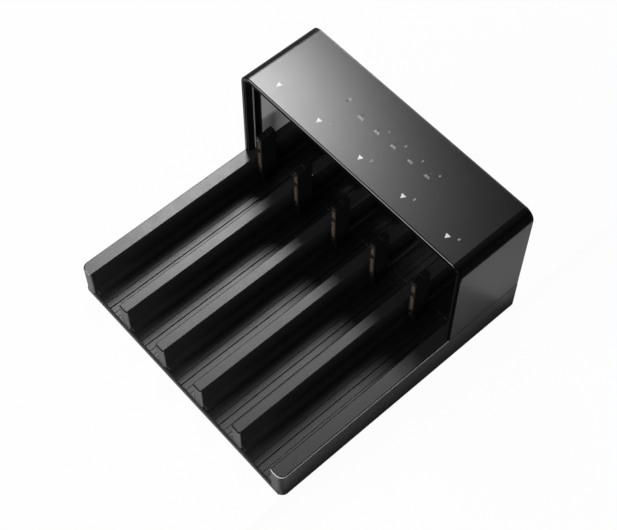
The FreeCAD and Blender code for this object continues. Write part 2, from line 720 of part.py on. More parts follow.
# Hood: one folded shell with round shoulders, open to the front, the back and the bays
def make_hood_shell():
    body = new_body("hood_shell_body")
    sketch = sketch_on(body, "XZ_Plane", "-dim.tray_length", "hood_outline")
    t = "dim.hood_thick"
    polygon(sketch, [("0", wall_z), ("0", hood_z), (width, hood_z), (width, wall_z),
                     (f"{width} - {t}", wall_z), (f"{width} - {t}", hood_in), (t, hood_in), (t, wall_z)])
    pad = body.newObject("PartDesign::Pad", "hood_sheet")
    pad.Profile = sketch
    pad.Reversed = True
    pad.setExpression("Length", "dim.hood_length")
    doc.recompute()
    high, inner = value(hood_z), value(hood_in)
    outer = body.newObject("PartDesign::Fillet", "hood_shoulders")
    sides = (0.0, value(width))
    picked = edges_along(pad.Shape, "y", lambda m: near(m.z, high) and any(near(m.x, x) for x in sides))
    outer.Base = (pad, [f"Edge{number}" for number in picked])
    outer.setExpression("Radius", "dim.hood_round")
    doc.recompute()
    inside = body.newObject("PartDesign::Fillet", "hood_inner_shoulders")
    picked = edges_along(outer.Shape, "y", lambda m: near(m.z, inner))
    inside.Base = (outer, [f"Edge{number}" for number in picked])
    inside.setExpression("Radius", "dim.hood_round - dim.hood_thick")
    doc.recompute()
    rim = body.newObject("PartDesign::Chamfer", "hood_rim")
    front, back = value("dim.tray_length"), value(depth)
    wide = value(width)
    chosen = []
    for number, edge in enumerate(inside.Shape.Edges, 1):
        box = edge.BoundBox
        if not (near(box.YMin, box.YMax) and (near(box.YMin, front) or near(box.YMin, back))):
            continue
        middle = edge.valueAt((edge.FirstParameter + edge.LastParameter) / 2)
        on_side = near(middle.x, 0) or near(middle.x, wide)
        on_top = near(middle.z, high)
        if on_side or on_top or (len(edge.Vertexes) == 2 and near(box.ZMax, high)):
            chosen.append(f"Edge{number}")
    rim.Base = (inside, chosen)
    rim.setExpression("Size", "dim.rim_bevel")
    body.Tip = rim
    doc.recompute()
    solids = [body]
    for x, y in hood_screw_places:
        solids.append(rod("Z", "dim.boss_radius", (x, y, "dim.hood_boss_foot"),
                          f"{liner_foot} - dim.hood_boss_foot", "hood_boss"))
    for web_x in (("dim.hood_thick/2", hood_boss_x[0]), (hood_boss_x[1], f"{width} - dim.hood_thick/2")):
        for y in hood_screw_y:
            web_y = (f"{y} - dim.boss_radius", f"{y} + dim.boss_radius")
            solids.append(block(web_x, web_y, (wall_z, liner_foot), "hood_boss_web"))
    for x, y in lamp_screw_places:
        solids.append(rod("Z", "dim.standoff_radius", (x, y, lamp_top), "dim.lamp_drop + 0.5", "lamp_post"))
    post_y = f"{panel_front} - dim.panel_post_long"
    for x in panel_screw_x:
        solids.append(rod("Y", "dim.boss_radius", (x, post_y, panel_screw_z), "dim.panel_post_long", "post"))
        solids.append(block((x, f"{x} + dim.post_web"), (post_y, panel_front),
                            (panel_screw_z, f"{hood_in} + 0.5"), "post_web"))
    holes = [rod("Z", thread, (x, y, "dim.hood_boss_foot - 1"), "dim.hood_grip + 2", "bore")
             for x, y in hood_screw_places]
    holes += [rod("Z", thread, (x, y, f"{lamp_top} - 1"), "dim.lamp_drop - 0.5", "bore")
              for x, y in lamp_screw_places]
    holes += [rod("Y", thread, (x, f"{post_y} + dim.skin", panel_screw_z), "dim.panel_post_long", "bore")
              for x in panel_screw_x]
    holes += [rod("Z", "dim.pipe_radius + dim.thread_gap", (x, lamp_row, f"{hood_in} - 1"),
                  "dim.hood_thick + 2", "pipe_hole") for x in lamp_x]
    return finish("hood_shell", cut(fuse(solids), holes, "hood_shell"))


# Front frame: a thin ring inside the mouth of the hood
def make_hood_frame():
    body = new_body("hood_frame_body")
    sketch = sketch_on(body, "XZ_Plane", "-(dim.tray_length + dim.rim_bevel)", "frame_outline")
    a = "dim.hood_thick"
    b = "(dim.hood_thick + dim.frame_thick)"
    polygon(sketch, [(a, wall_z), (a, hood_in), (f"{width} - {a}", hood_in), (f"{width} - {a}", wall_z),
                     (f"{width} - {b}", wall_z), (f"{width} - {b}", f"{hood_in} - dim.frame_thick"),
                     (b, f"{hood_in} - dim.frame_thick"), (b, wall_z)])
    pad = body.newObject("PartDesign::Pad", "frame_ring")
    pad.Profile = sketch
    pad.Reversed = True
    pad.setExpression("Length", "dim.frame_depth")
    doc.recompute()
    high = value(hood_in)
    low = value(f"{hood_in} - dim.frame_thick")
    outer = body.newObject("PartDesign::Fillet", "frame_outer_round")
    outer.Base = (pad, [f"Edge{n}" for n in edges_along(pad.Shape, "y", lambda m: near(m.z, high))])
    outer.setExpression("Radius", "dim.hood_round - dim.hood_thick")
    doc.recompute()
    inner = body.newObject("PartDesign::Fillet", "frame_inner_round")
    inner.Base = (outer, [f"Edge{n}" for n in edges_along(outer.Shape, "y", lambda m: near(m.z, low))])
    inner.setExpression("Radius", "dim.hood_round - dim.hood_thick - dim.frame_thick")
    body.Tip = inner
    doc.recompute()
    return finish("hood_frame", body)


# Side liners: upright inner panels whose feet cover the screw bosses
def make_side_liner(left):
    def x(near_edge, far_edge):
        if left:
            return (near_edge, far_edge)
        return (f"{width} - ({far_edge})", f"{width} - ({near_edge})")
    y = (liner_front, f"{panel_front} - dim.fit_gap")
    a = "dim.hood_thick"
    b = "(dim.hood_thick + dim.liner_thick)"
    upright = block(x(a, b), y, (wall_z, shelf_z), "liner_upright")
    foot = block(x(a, "dim.side_wall"), y, (wall_z, liner_foot), "liner_foot")
    ledge = block(x(a, f"{b} + dim.liner_ledge"), y, (f"{shelf_z} - dim.liner_thick", shelf_z), "ledge")
    boss_x = hood_boss_x[0] if left else hood_boss_x[1]
    web_x = x("dim.hood_thick - 1", "dim.hood_boss_side")
    holes = []
    for place in hood_screw_y:
        holes.append(rod("Z", boss_room, (boss_x, place, f"{wall_z} - 1"), "dim.liner_thick + 1", "boss_gap"))
        web_y = (f"{place} - ({boss_room})", f"{place} + ({boss_room})")
        holes.append(block(web_x, web_y, (f"{wall_z} - 1", liner_foot), "web_gap"))
    name = "left_liner" if left else "right_liner"
    return finish(name, cut(fuse([upright, foot, ledge]), holes, name))


# Electronics shelf: carries the main board under the roof of the hood
def make_shelf():
    margin = "(dim.hood_thick + dim.fit_gap)"
    x = (margin, f"{width} - {margin}")
    y = (liner_front, f"{panel_front} - dim.fit_gap")
    plate = block(x, y, (shelf_z, shelf_top), "shelf_plate")
    lip = block(x, (y[0], f"{y[0]} + dim.shelf_thick"), (shelf_z, f"{shelf_top} + dim.shelf_flange"), "lip")
    posts = [rod("Z", "dim.standoff_radius", (px, py, shelf_z), f"{main_z} - {shelf_z}", "post")
             for px, py in main_screw_places]
    holes = [rod("Z", thread, (px, py, f"{main_z} - dim.main_grip - 0.5"), "dim.main_grip + 1", "bore")
             for px, py in main_screw_places]
    through = (f"{shelf_z} - 1", f"{shelf_top} + 1")
    slot_y = (f"{ribbon_y} - 2*dim.ribbon_thick", f"{panel_front} + 1")
    holes.append(block(ribbon_room, slot_y, through, "ribbon_slot"))
    vent_y = (f"{liner_front} + dim.shelf_vent_front",
              f"{liner_front} + dim.shelf_vent_front + dim.shelf_vent_wide")
    for i in range(SHELF_VENTS):
        share = i / (SHELF_VENTS - 1)
        start = f"(dim.shelf_vent_side + {share}*({width} - 2*dim.shelf_vent_side - dim.shelf_vent_long))"
        holes.append(block((start, f"{start} + dim.shelf_vent_long"), vent_y, through, "shelf_vent"))
    return finish("board_shelf", cut(fuse([plate, lip] + posts), holes, "board_shelf"))


def make_main_board():
    board = block(("dim.main_left", main_right), (main_front, main_back), (main_z, main_top))
    holes = [rod("Z", clear, (x, y, f"{main_z} - 1"), "dim.main_thick + 2", "hole")
             for x, y in main_screw_places]
    finish("main_board", cut(board, holes, "main_board"))
    grip = "dim.main_thick + dim.main_grip"
    screws = [screw("Z", (x, y, main_top), grip, -1, "main_screw") for x, y in main_screw_places]
    finish("main_board_screws", group(screws, "main_board_screws"))


# Parts soldered to the main board
def make_board_parts():
    chip_left = "(dim.main_left + dim.chip_left)"
    chip_front = f"({main_front} + dim.chip_front)"
    chip_x = (chip_left, f"{chip_left} + dim.chip_size")
    chip_y = (chip_front, f"{chip_front} + dim.chip_size")
    finish("controller_chip", block(chip_x, chip_y, (main_top, f"{main_top} + dim.chip_height"), "chip"))
    sink_z = f"({main_top} + dim.chip_height)"
    plate = block(chip_x, chip_y, (sink_z, f"{sink_z} + dim.sink_base"), "sink_plate")
    fins = []
    for i in range(SIZES["fin_count"]):
        start = f"({chip_left} + {i}*(dim.chip_size - dim.fin_thick)/(dim.fin_count - 1))"
        fins.append(block((start, f"{start} + dim.fin_thick"), chip_y,
                          (f"{sink_z} + dim.sink_base/2", f"{sink_z} + dim.sink_height"), "fin"))
    finish("heat_sink", fuse([plate] + fins, "heat_sink"))
    memory_y = (chip_front, f"{chip_front} + dim.memory_size")
    memory_z = (main_top, f"{main_top} + dim.memory_height")
    memory = []
    for i in range(2):
        start = f"(dim.main_left + dim.memory_left + {i}*(dim.memory_size + dim.memory_gap))"
        memory.append(block((start, f"{start} + dim.memory_size"), memory_y, memory_z, "memory"))
    finish("memory_chips", group(memory, "memory_chips"))
    cans = []
    for i in range(4):
        can_x = f"dim.main_left + dim.can_left + {i}*(2*dim.can_radius + dim.can_gap)"
        foot = (can_x, f"{main_front} + dim.can_front", main_top)
        cans.append(rod("Z", "dim.can_radius", foot, "dim.can_height", "can"))
    finish("capacitors", group(cans, "capacitors"))
    header_left = "(dim.main_left + dim.header_left)"
    header_front = f"({lamp_front} + dim.header_back)"
    header = block((header_left, f"{header_left} + dim.header_long"),
                   (header_front, f"{header_front} + dim.header_thick"), (main_top, lamp_z), "header")
    finish("board_header", header)


# Lamp board under the roof, its lamps and the light pipes that reach the top of the hood
def make_lamps():
    board = block((lamp_left, lamp_right), (lamp_front, lamp_back), (lamp_z, lamp_top))
    holes = [rod("Z", clear, (x, y, f"{lamp_z} - 1"), "dim.board_thick + 2", "hole")
             for x, y in lamp_screw_places]
    finish("lamp_board", cut(board, holes, "lamp_board"))
    grip = "dim.board_thick + dim.lamp_drop*2/3"
    screws = [screw("Z", (x, y, lamp_z), grip) for x, y in lamp_screw_places]
    finish("lamp_board_screws", group(screws, "lamp_board_screws"))
    half = "dim.led_size/2"
    led_y = (f"{lamp_row} - {half}", f"{lamp_row} + {half}")
    led_z = (lamp_top, f"{lamp_top} + dim.led_height")
    lamps = [block((f"{x} - {half}", f"{x} + {half}"), led_y, led_z, "lamp") for x in lamp_x]
    finish("lamps", group(lamps, "lamps"))
    start = f"({lamp_top} + dim.led_height + dim.pipe_gap)"
    pipes = []
    for x in lamp_x:
        collar = rod("Z", "dim.pipe_flange", (x, lamp_row, start), f"{hood_in} - {start}", "pipe_collar")
        stem = rod("Z", "dim.pipe_radius", (x, lamp_row, start), f"{hood_z} - {start}", "pipe_stem")
        pipes.append(fuse([collar, stem], "pipe"))
    finish("light_pipes", group(pipes, "light_pipes"))


# Link board under the bays, the upright riser boards and the ribbon to the main board
def make_link_boards():
    x = ("dim.board_inset", f"{width} - dim.board_inset")
    finish("link_board", block(x, (board_front, board_back), (board_z, board_top), "link_board"))
    half = "dim.riser_thick/2"
    riser_y = (riser_front, f"{riser_front} + dim.riser_deep")
    riser_z = (board_top, f"{socket_top} - dim.riser_drop")
    for bay in range(BAYS):
        middle = socket_x(bay)
        name = f"riser_board_{bay + 1}"
        finish(name, block((f"{middle} - {half}", f"{middle} + {half}"), riser_y, riser_z, name))
    strip = ("dim.ribbon_x - dim.ribbon_wide/2", "dim.ribbon_x + dim.ribbon_wide/2")
    seat_top = f"({main_top} + dim.seat_height)"
    ribbon_top = f"({seat_top} + dim.ribbon_thick)"
    seat_front = f"{main_back} - dim.seat_deep"
    low = block(strip, (f"{board_back} - dim.ribbon_lap", ribbon_y),
                (board_top, f"{board_top} + dim.ribbon_thick"), "ribbon_low")
    upright = block(strip, (f"{ribbon_y} - dim.ribbon_thick", ribbon_y), (board_top, ribbon_top), "ribbon_up")
    high = block(strip, (seat_front, ribbon_y), (seat_top, ribbon_top), "ribbon_high")
    finish("board_ribbon", fuse([low, upright, high], "board_ribbon"))
    seat_x = (f"{strip[0]} - dim.seat_side", f"{strip[1]} + dim.seat_side")
    finish("ribbon_seat", block(seat_x, (seat_front, main_back), (main_top, seat_top), "ribbon_seat"))


# Drive connectors: a plastic socket with two slots, held up by a post on the bay floor
def make_drive_socket(bay):
    x = socket_x(bay)
    half = "dim.socket_thick/2"
    sides = (f"{x} - {half}", f"{x} + {half}")
    shell = block(sides, (socket_front, socket_back), (socket_z, socket_top))
    face = f"{x} + dim.slot_side"
    slot_x = (f"{face} - dim.slot_wide", face)
    slot_y = (f"{socket_front} - 1", f"{socket_back} + 1")
    signal = (f"{socket_top} - dim.peg_zone - dim.signal_slot", f"{socket_top} - dim.peg_zone")
    power_foot = f"{socket_z} + dim.peg_zone + dim.power_lift"
    power = (power_foot, f"{power_foot} + dim.power_slot")
    tools = [block(slot_x, slot_y, signal, "signal_slot"), block(slot_x, slot_y, power, "power_slot")]
    key_x = (f"{face} - dim.slot_wide/2", f"{face} + dim.key_reach")
    tools.append(block(key_x, slot_y, (signal[0], f"{signal[0]} + dim.key_tall"), "signal_key"))
    tools.append(block(key_x, slot_y, (f"{power[1]} - dim.key_tall", power[1]), "power_key"))
    notch_top = f"{signal[0]} - dim.notch_drop"
    notch_y = (f"{socket_front} - 1", f"{socket_front} + dim.notch_deep")
    notch_z = (f"{notch_top} - dim.notch_tall", notch_top)
    tools.append(block((f"{sides[0]} - 1", x), notch_y, notch_z, "notch"))
    peg_hole = "dim.peg_radius + dim.thread_gap"
    for z in peg_levels:
        tools.append(rod("Y", peg_hole, (x, f"{socket_front} - 1", z), "dim.peg_long", "peg_hole"))
    name = f"drive_socket_{bay + 1}"
    finish(name, cut(shell, [fuse(tools, "socket_tools")], name))
    post_y = (socket_back, f"{socket_back} + dim.post_deep")
    tall = block(sides, post_y, (floor_z, f"{socket_top} + dim.post_cap"), "post_back")
    step = block(sides, (f"{socket_front} + dim.post_step", socket_back), (floor_z, socket_z), "post_step")
    gap = "(dim.riser_thick/2 + dim.fit_gap)"
    room_y = (f"{socket_back} - 0.1", f"{riser_front} + dim.riser_deep + dim.fit_gap")
    slot = block((f"{x} - {gap}", f"{x} + {gap}"), room_y,
                 (f"{floor_z} - 1", f"{socket_top} - dim.riser_drop + dim.running_gap"), "riser_room")
    name = f"connector_post_{bay + 1}"
    finish(name, cut(fuse([tall, step]), [slot], name))
    contacts = []
    y = (f"{socket_front} + dim.contact_setback", riser_front)
    for pins, zone in ((7, signal), (15, power)):
        middle = f"(({zone[0]}) + ({zone[1]}))/2"
        for pin in range(pins):
            z = f"({middle} + {pin - (pins - 1) / 2}*dim.contact_pitch)"
            contacts.append(block((f"{face} - dim.contact_thick", face), y,
                                  (f"{z} - dim.contact_wide/2", f"{z} + dim.contact_wide/2"), "contact"))
    name = f"socket_contacts_{bay + 1}"
    finish(name, group(contacts, name))


def make_guide_pegs():
    pegs = []
    for bay in range(BAYS):
        for z in peg_levels:
            tip = (socket_x(bay), f"{socket_front} - 1", z)
            pegs.append(rod("Y", "dim.peg_radius", tip, "dim.peg_long", "peg"))
    return finish("guide_pegs", group(pegs, "guide_pegs"))


# Rear panel: cut-outs for the controls and two rows of vents
def make_rear_panel():
    body = new_body("rear_panel_body")
    margin = "(dim.hood_thick + dim.panel_gap)"
    sketch = sketch_on(body, "XZ_Plane", f"-{panel_front}", "panel_outline")
    top = f"({hood_in} - dim.panel_gap)"
    far_x = f"{width} - {margin}"
    polygon(sketch, [(margin, wall_z), (margin, top), (far_x, top), (far_x, wall_z)])
    pad = body.newObject("PartDesign::Pad", "panel_plate")
    pad.Profile = sketch
    pad.Reversed = True
    pad.setExpression("Length", "dim.panel_thick")
    doc.recompute()
    high = value(top)
    corners = body.newObject("PartDesign::Fillet", "panel_corners")
    corners.Base = (pad, [f"Edge{n}" for n in edges_along(pad.Shape, "y", lambda m: m.z > 0.9 * high)])
    corners.setExpression("Radius", "dim.hood_round - dim.hood_thick - dim.panel_gap")
    doc.recompute()
    vents = sketch_on(body, "XZ_Plane", f"-{panel_front}", "panel_vent")
    start_x = f"({width}/2 - {PANEL_VENTS // 2}*dim.vent_pitch)"
    end_x = f"{start_x} + dim.vent_wide"
    low = f"({wall_z} + dim.panel_vent_foot)"
    vent_top = f"{low} + dim.panel_vent_tall"
    polygon(vents, [(start_x, low), (end_x, low), (end_x, vent_top), (start_x, vent_top)])
    slot = body.newObject("PartDesign::Pocket", "panel_slot")
    slot.Profile = vents
    slot.Type = 1
    slot.Midplane = True
    row_of_slots = body.newObject("PartDesign::LinearPattern", "panel_vent_row")
    row_of_slots.Originals = [slot]
    row_of_slots.Direction = (vents, ["H_Axis"])
    row_of_slots.setExpression("Length", f"{PANEL_VENTS - 1}*dim.vent_pitch")
    row_of_slots.Occurrences = PANEL_VENTS
    body.Tip = row_of_slots
    doc.recompute()
    tab_z = (f"{wall_z} - dim.tab_drop", f"{wall_z} + 0.5")
    tabs = [block((f"{share}*{width} - dim.tab_half", f"{share}*{width} + dim.tab_half"),
                  (panel_front, panel_back), tab_z, "panel_tab") for share in (0.25, 0.5, 0.75)]
    through = (f"{panel_front} - 1", f"{panel_back} + 1")
    deep = "dim.panel_thick + 2"
    half_long = "(dim.rocker_radius + dim.rocker_gap + dim.frame_wall + dim.fit_gap)"
    half_tall = "(dim.rocker_tall/2 + dim.rocker_gap + dim.frame_wall + dim.fit_gap)"
    holes = [block((f"dim.rocker_x - {half_long}", f"dim.rocker_x + {half_long}"), through,
                   (f"{port_z} - {half_tall}", f"{port_z} + {half_tall}"), "rocker_window")]
    half_usb = "(dim.usb_wide/2 + dim.fit_gap)"
    usb_z = (f"{main_top} - dim.fit_gap", f"{main_top} + dim.usb_tall + dim.fit_gap")
    holes.append(block((f"dim.usb_x - {half_usb}", f"dim.usb_x + {half_usb}"), through, usb_z, "usb_window"))
    nose_room = "dim.jack_bore + dim.jack_wall + dim.fit_gap"
    holes.append(rod("Y", nose_room, ("dim.jack_x", through[0], jack_z), deep, "jack_hole"))
    cap_room = "dim.button_radius + dim.button_gap"
    holes.append(rod("Y", cap_room, ("dim.button_x", through[0], button_z), deep, "button_hole"))
    holes += [rod("Y", clear, (x, through[0], panel_screw_z), deep, "hole") for x in panel_screw_x]
    finish("rear_panel", cut(fuse([body] + tabs), holes, "rear_panel"))
    grip = "dim.panel_thick + dim.panel_grip"
    screws = [screw("Y", (x, panel_back, panel_screw_z), grip, -1, "panel_screw") for x in panel_screw_x]
    finish("panel_screws", group(screws, "panel_screws"))


# Power switch: a frame that snaps into the panel and a rocker that tips on two pins
def make_power_switch():
    pivot_y = f"({panel_back} - dim.rocker_sink)"
    x = "dim.rocker_x"
    gap = "dim.rocker_gap"
    half_long = f"(dim.rocker_radius + {gap})"
    half_tall = f"(dim.rocker_tall/2 + {gap})"
    wall = "dim.frame_wall"
    deep = f"({panel_back} - dim.switch_deep)"
    face = f"({panel_back} + dim.flange_thick)"

    def shell(more, y, name):
        return block((f"{x} - {half_long} - {more}", f"{x} + {half_long} + {more}"), y,
                     (f"{port_z} - {half_tall} - {more}", f"{port_z} + {half_tall} + {more}"), name)
    case = shell(wall, (deep, panel_back), "switch_case")
    flange = shell(f"({wall} + dim.frame_lip)", (panel_back, face), "switch_flange")
    room = shell("0", (f"{deep} + {wall}", f"{face} + 1"), "switch_room")
    pin_foot = f"({port_z} - dim.rocker_tall/2 - dim.pivot_long)"
    pin_long = "(dim.rocker_tall + 2*dim.pivot_long)"
    bore = rod("Z", "dim.pivot_radius + dim.thread_gap", (x, pivot_y, f"{pin_foot} - dim.running_gap"),
               f"{pin_long} + 2*dim.running_gap", "pin_bore")
    tool = fuse([room, bore], "switch_hollow")
    finish("switch_frame", cut(fuse([case, flange]), [tool], "switch_frame"))
    blade_y = (f"{deep} - dim.blade_long", deep)
    blade_z = (f"{port_z} - dim.blade_wide/2", f"{port_z} + dim.blade_wide/2")
    blades = []
    for share in (-0.6, 0.6):
        place = f"({x} + {share}*dim.rocker_radius)"
        blade_x = (f"{place} - dim.blade_thick/2", f"{place} + dim.blade_thick/2")
        blades.append(block(blade_x, blade_y, blade_z, "blade"))
    finish("switch_blades", group(blades, "switch_blades"))
    low_z = f"({port_z} - dim.rocker_tall/2)"
    drum = rod("Z", "dim.rocker_radius", (x, pivot_y, low_z), "dim.rocker_tall", "rocker_drum")
    rise = "(dim.rocker_radius*tan(dim.rocker_tilt))"
    body = new_body("rocker_profile")
    sketch = sketch_on(body, "XY_Plane", low_z, "rocker_outline")
    far = "dim.rocker_radius"
    crest = f"{pivot_y} + dim.rocker_face"
    foot = f"{pivot_y} - dim.rocker_floor"
    polygon(sketch, [(f"{x} - {far}", foot), (f"{x} + {far}", foot), (f"{x} + {far}", crest),
                     (x, crest), (f"{x} - {far}", f"{crest} + {rise}")])
    pad = body.newObject("PartDesign::Pad", "rocker_solid")
    pad.Profile = sketch
    pad.setExpression("Length", "dim.rocker_tall")
    body.Tip = pad
    doc.recompute()
    shape = doc.addObject("Part::Common", unique("rocker_shape"))
    shape.Base = body
    shape.Tool = drum
    pin = rod("Z", "dim.pivot_radius", (x, pivot_y, pin_foot), pin_long, "rocker_pin")
    finish("power_rocker", fuse([shape, pin], "power_rocker"))


# Start button: a cap in the panel, a plunger behind it and the switch on the main board
def make_start_button():
    x = "dim.button_x"
    inner = f"({panel_front} - dim.button_rim - dim.running_gap)"
    cap_long = f"{panel_back} + dim.button_proud - {inner}"
    cap = rod("Y", "dim.button_radius", (x, inner, button_z), cap_long, "cap")
    rim = rod("Y", "dim.button_flange", (x, inner, button_z), "dim.button_rim", "cap_rim")
    finish("start_button", soften_cap(fuse([cap, rim], "start_button")))
    case_back = f"({inner} - dim.button_travel - dim.button_spare)"
    half = "dim.switch_size/2"
    case = block((f"{x} - {half}", f"{x} + {half}"), (f"{case_back} - dim.switch_body", case_back),
                 (main_top, f"{main_top} + dim.switch_size"), "switch_body")
    bore_foot = f"({case_back} - dim.plunger_long)"
    bore = rod("Y", "dim.plunger_radius + dim.thread_gap", (x, bore_foot, button_z), "dim.plunger_long + 1")
    finish("start_switch", cut(case, [bore], "start_switch"))
    foot = f"({bore_foot} + dim.button_travel + dim.running_gap)"
    plunger = rod("Y", "dim.plunger_radius", (x, foot, button_z), f"{inner} - {foot}", "plunger")
    finish("switch_plunger", plunger)


def soften_cap(cap):
    """Bevel the outer edge of the button."""
    doc.recompute()
    result = doc.addObject("Part::Chamfer", unique("cap_bevel"))
    result.Base = cap
    back = max(edge.BoundBox.YMax for edge in cap.Shape.Edges)
    size = value("dim.button_bevel")
    result.Edges = [(number, size, size) for number, edge in enumerate(cap.Shape.Edges, 1)
                    if near(edge.BoundBox.YMin, back) and near(edge.BoundBox.YMax, back)]
    return result


# Ports on the main board
def make_usb_port():
    x = "dim.usb_x"
    back = f"({panel_back} + dim.usb_proud)"
    half = "dim.usb_wide/2"
    skin = "dim.usb_skin"
    shell = block((f"{x} - {half}", f"{x} + {half}"), (f"{back} - dim.usb_deep", back),
                  (main_top, f"{main_top} + dim.usb_tall"), "usb_shell")
    floor = f"{back} - dim.usb_deep + 2*{skin}"
    room = block((f"{x} - {half} + {skin}", f"{x} + {half} - {skin}"), (floor, f"{back} + 1"),
                 (f"{main_top} + {skin}", f"{main_top} + dim.usb_tall - {skin}"), "usb_room")
    finish("usb_port", cut(shell, [room], "usb_port"))
    middle = f"({main_top} + dim.usb_tall/2)"
    tongue_x = (f"{x} - dim.usb_tongue_wide/2", f"{x} + dim.usb_tongue_wide/2")
    tongue_z = (f"{middle} - dim.usb_tongue_tall/2", f"{middle} + dim.usb_tongue_tall/2")
    finish("usb_tongue", block(tongue_x, (floor, f"{back} - dim.usb_tongue_recess"), tongue_z, "usb_tongue"))


def make_power_jack():
    x = "dim.jack_x"
    half = "dim.jack_wide/2"
    front = f"({panel_back} - dim.jack_deep)"
    case = block((f"{x} - {half}", f"{x} + {half}"), (front, f"{panel_front} - dim.running_gap"),
                 (main_top, f"{main_top} + dim.jack_tall"), "jack_case")
    nose_long = "dim.jack_deep + dim.jack_proud"
    nose = rod("Y", "dim.jack_bore + dim.jack_wall", (x, front, jack_z), nose_long, "jack_nose")
    floor = (x, f"{front} + dim.jack_floor", jack_z)
    bore = rod("Y", "dim.jack_bore", floor, "dim.jack_deep", "jack_bore")
    finish("power_jack", cut(fuse([case, nose]), [bore], "power_jack"))
    finish("jack_pin", rod("Y", "dim.jack_pin", floor, "dim.jack_deep - dim.jack_floor - 1", "jack_pin"))


make_bay_tray()
make_rear_deck()
make_bottom_cover()
make_rubber_feet()
make_case_screws()
make_hood_shell()
make_hood_frame()
make_side_liner(True)
make_side_liner(False)
make_shelf()
make_main_board()
make_board_parts()
make_lamps()
make_link_boards()
for bay in range(BAYS):
    make_drive_socket(bay)
make_guide_pegs()
make_rear_panel()
make_power_switch()
make_start_button()
make_usb_port()
make_power_jack()
doc.recompute()

for thing in doc.Objects:
    if "Invalid" in thing.State or "Error" in thing.State:
        raise RuntimeError(f"{thing.Name} failed: {thing.State}")
for label, piece in parts.items():
    if piece.Shape.isNull() or not piece.Shape.isValid():
        raise RuntimeError(f"{label} has no valid shape")

os.makedirs("parts", exist_ok=True)
for label, piece in parts.items():
    piece.Shape.exportStep(f"parts/{label}.step")
print(len(parts), "sub-parts written")
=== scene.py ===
# %% [markdown]
# A five-bay drive duplicator is a low ribbed tray in which hard drives stand on edge, with a
# rounded hood over their connectors. All of it is black plastic, so its looks come from how
# each surface mirrors the studio and not from colour. The frame already holds every rigid
# piece at its real size. This lesson gives them their finishes, prints the marks on the hood,
# and lights them as in the photograph.

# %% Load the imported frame
import math
import bmesh
import bpy
from mathutils import Matrix, Vector


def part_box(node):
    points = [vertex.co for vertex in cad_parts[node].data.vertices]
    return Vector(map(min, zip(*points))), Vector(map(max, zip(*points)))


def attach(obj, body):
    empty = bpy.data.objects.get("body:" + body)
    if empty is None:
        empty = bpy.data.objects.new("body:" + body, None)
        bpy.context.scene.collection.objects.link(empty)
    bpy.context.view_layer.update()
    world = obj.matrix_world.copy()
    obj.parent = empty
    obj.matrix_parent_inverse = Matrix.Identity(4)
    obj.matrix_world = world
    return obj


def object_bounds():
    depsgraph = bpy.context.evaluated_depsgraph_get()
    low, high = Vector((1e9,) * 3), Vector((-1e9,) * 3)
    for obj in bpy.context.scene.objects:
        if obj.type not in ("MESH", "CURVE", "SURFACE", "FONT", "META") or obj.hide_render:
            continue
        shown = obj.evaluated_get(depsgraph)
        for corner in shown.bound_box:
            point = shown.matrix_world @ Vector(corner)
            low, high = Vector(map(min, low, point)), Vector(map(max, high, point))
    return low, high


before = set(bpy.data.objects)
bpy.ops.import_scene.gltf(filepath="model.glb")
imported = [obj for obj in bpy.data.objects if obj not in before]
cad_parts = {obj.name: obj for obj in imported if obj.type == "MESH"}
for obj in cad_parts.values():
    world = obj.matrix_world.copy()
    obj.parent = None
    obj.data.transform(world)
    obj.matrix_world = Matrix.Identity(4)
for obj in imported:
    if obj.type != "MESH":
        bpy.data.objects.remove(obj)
cad_box = [list(corner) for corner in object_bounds()]
MM = 0.001
print("nodes:", len(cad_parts), "box:", cad_box)

# %% [markdown]
# The camera comes first, because every comparison with the photograph depends on it. It could be
# turned by hand until the picture looks right. Here its place and the two axes of its picture come
# from a fit of the tray's straight edges, so each corner lands where the photograph has it. It
# stands high in front of the right corner, a metre away, with a long lens. The photograph was
# cropped lower than its optical axis, so the sensor is shifted instead of the camera tilted.

# %% Place the camera
PHOTO_WIDE, PHOTO_TALL = 617, 530
SENSOR_MM = 36.0
FOCAL_PIXELS = 1386.96
AXIS_ROW = 215.0
CAMERA_PLACE = Vector((0.3702, -0.32365, 0.8765))
IMAGE_RIGHT = Vector((0.6661, 0.7459, 0.0024)).normalized()
IMAGE_DOWN = Vector((0.6288, -0.5598, -0.5397))


def put(thing):
    """Add an object to the scene."""
    bpy.context.scene.collection.objects.link(thing)
    return thing


lens = bpy.data.cameras.new("photo_lens")
lens.sensor_width = SENSOR_MM
lens.lens = FOCAL_PIXELS * SENSOR_MM / PHOTO_WIDE
lens.shift_y = (AXIS_ROW - PHOTO_TALL / 2) / PHOTO_WIDE
camera = put(bpy.data.objects.new("photo_camera", lens))
look = IMAGE_RIGHT.cross(IMAGE_DOWN).normalized()
up = IMAGE_RIGHT.cross(look)
turn = Matrix((IMAGE_RIGHT, up, -look)).transposed().to_4x4()
camera.matrix_world = Matrix.Translation(CAMERA_PLACE) @ turn
bpy.context.scene.camera = camera
print("lens:", round(lens.lens, 2), "mm, shift:", round(lens.shift_y, 4))

# %% [markdown]
# Colours are written as the hex values that a designer picks on screen. Blender computes in
# linear light, so one function turns them. Another adds a node with its settings and links, and
# a third starts a material on the standard shader and gives it its plain numbers. The same nodes
# could be laid out by hand in the editor, but written down they can be read and repeated.


# %% Helpers for materials
def srgb(code):
    """The linear colour of a hex value such as 1a1b1d."""
    parts = [int(code[i:i + 2], 16) / 255 for i in (0, 2, 4)]
    linear = [p / 12.92 if p <= 0.04045 else ((p + 0.055) / 1.055) ** 2.4 for p in parts]
    return (*linear, 1.0)


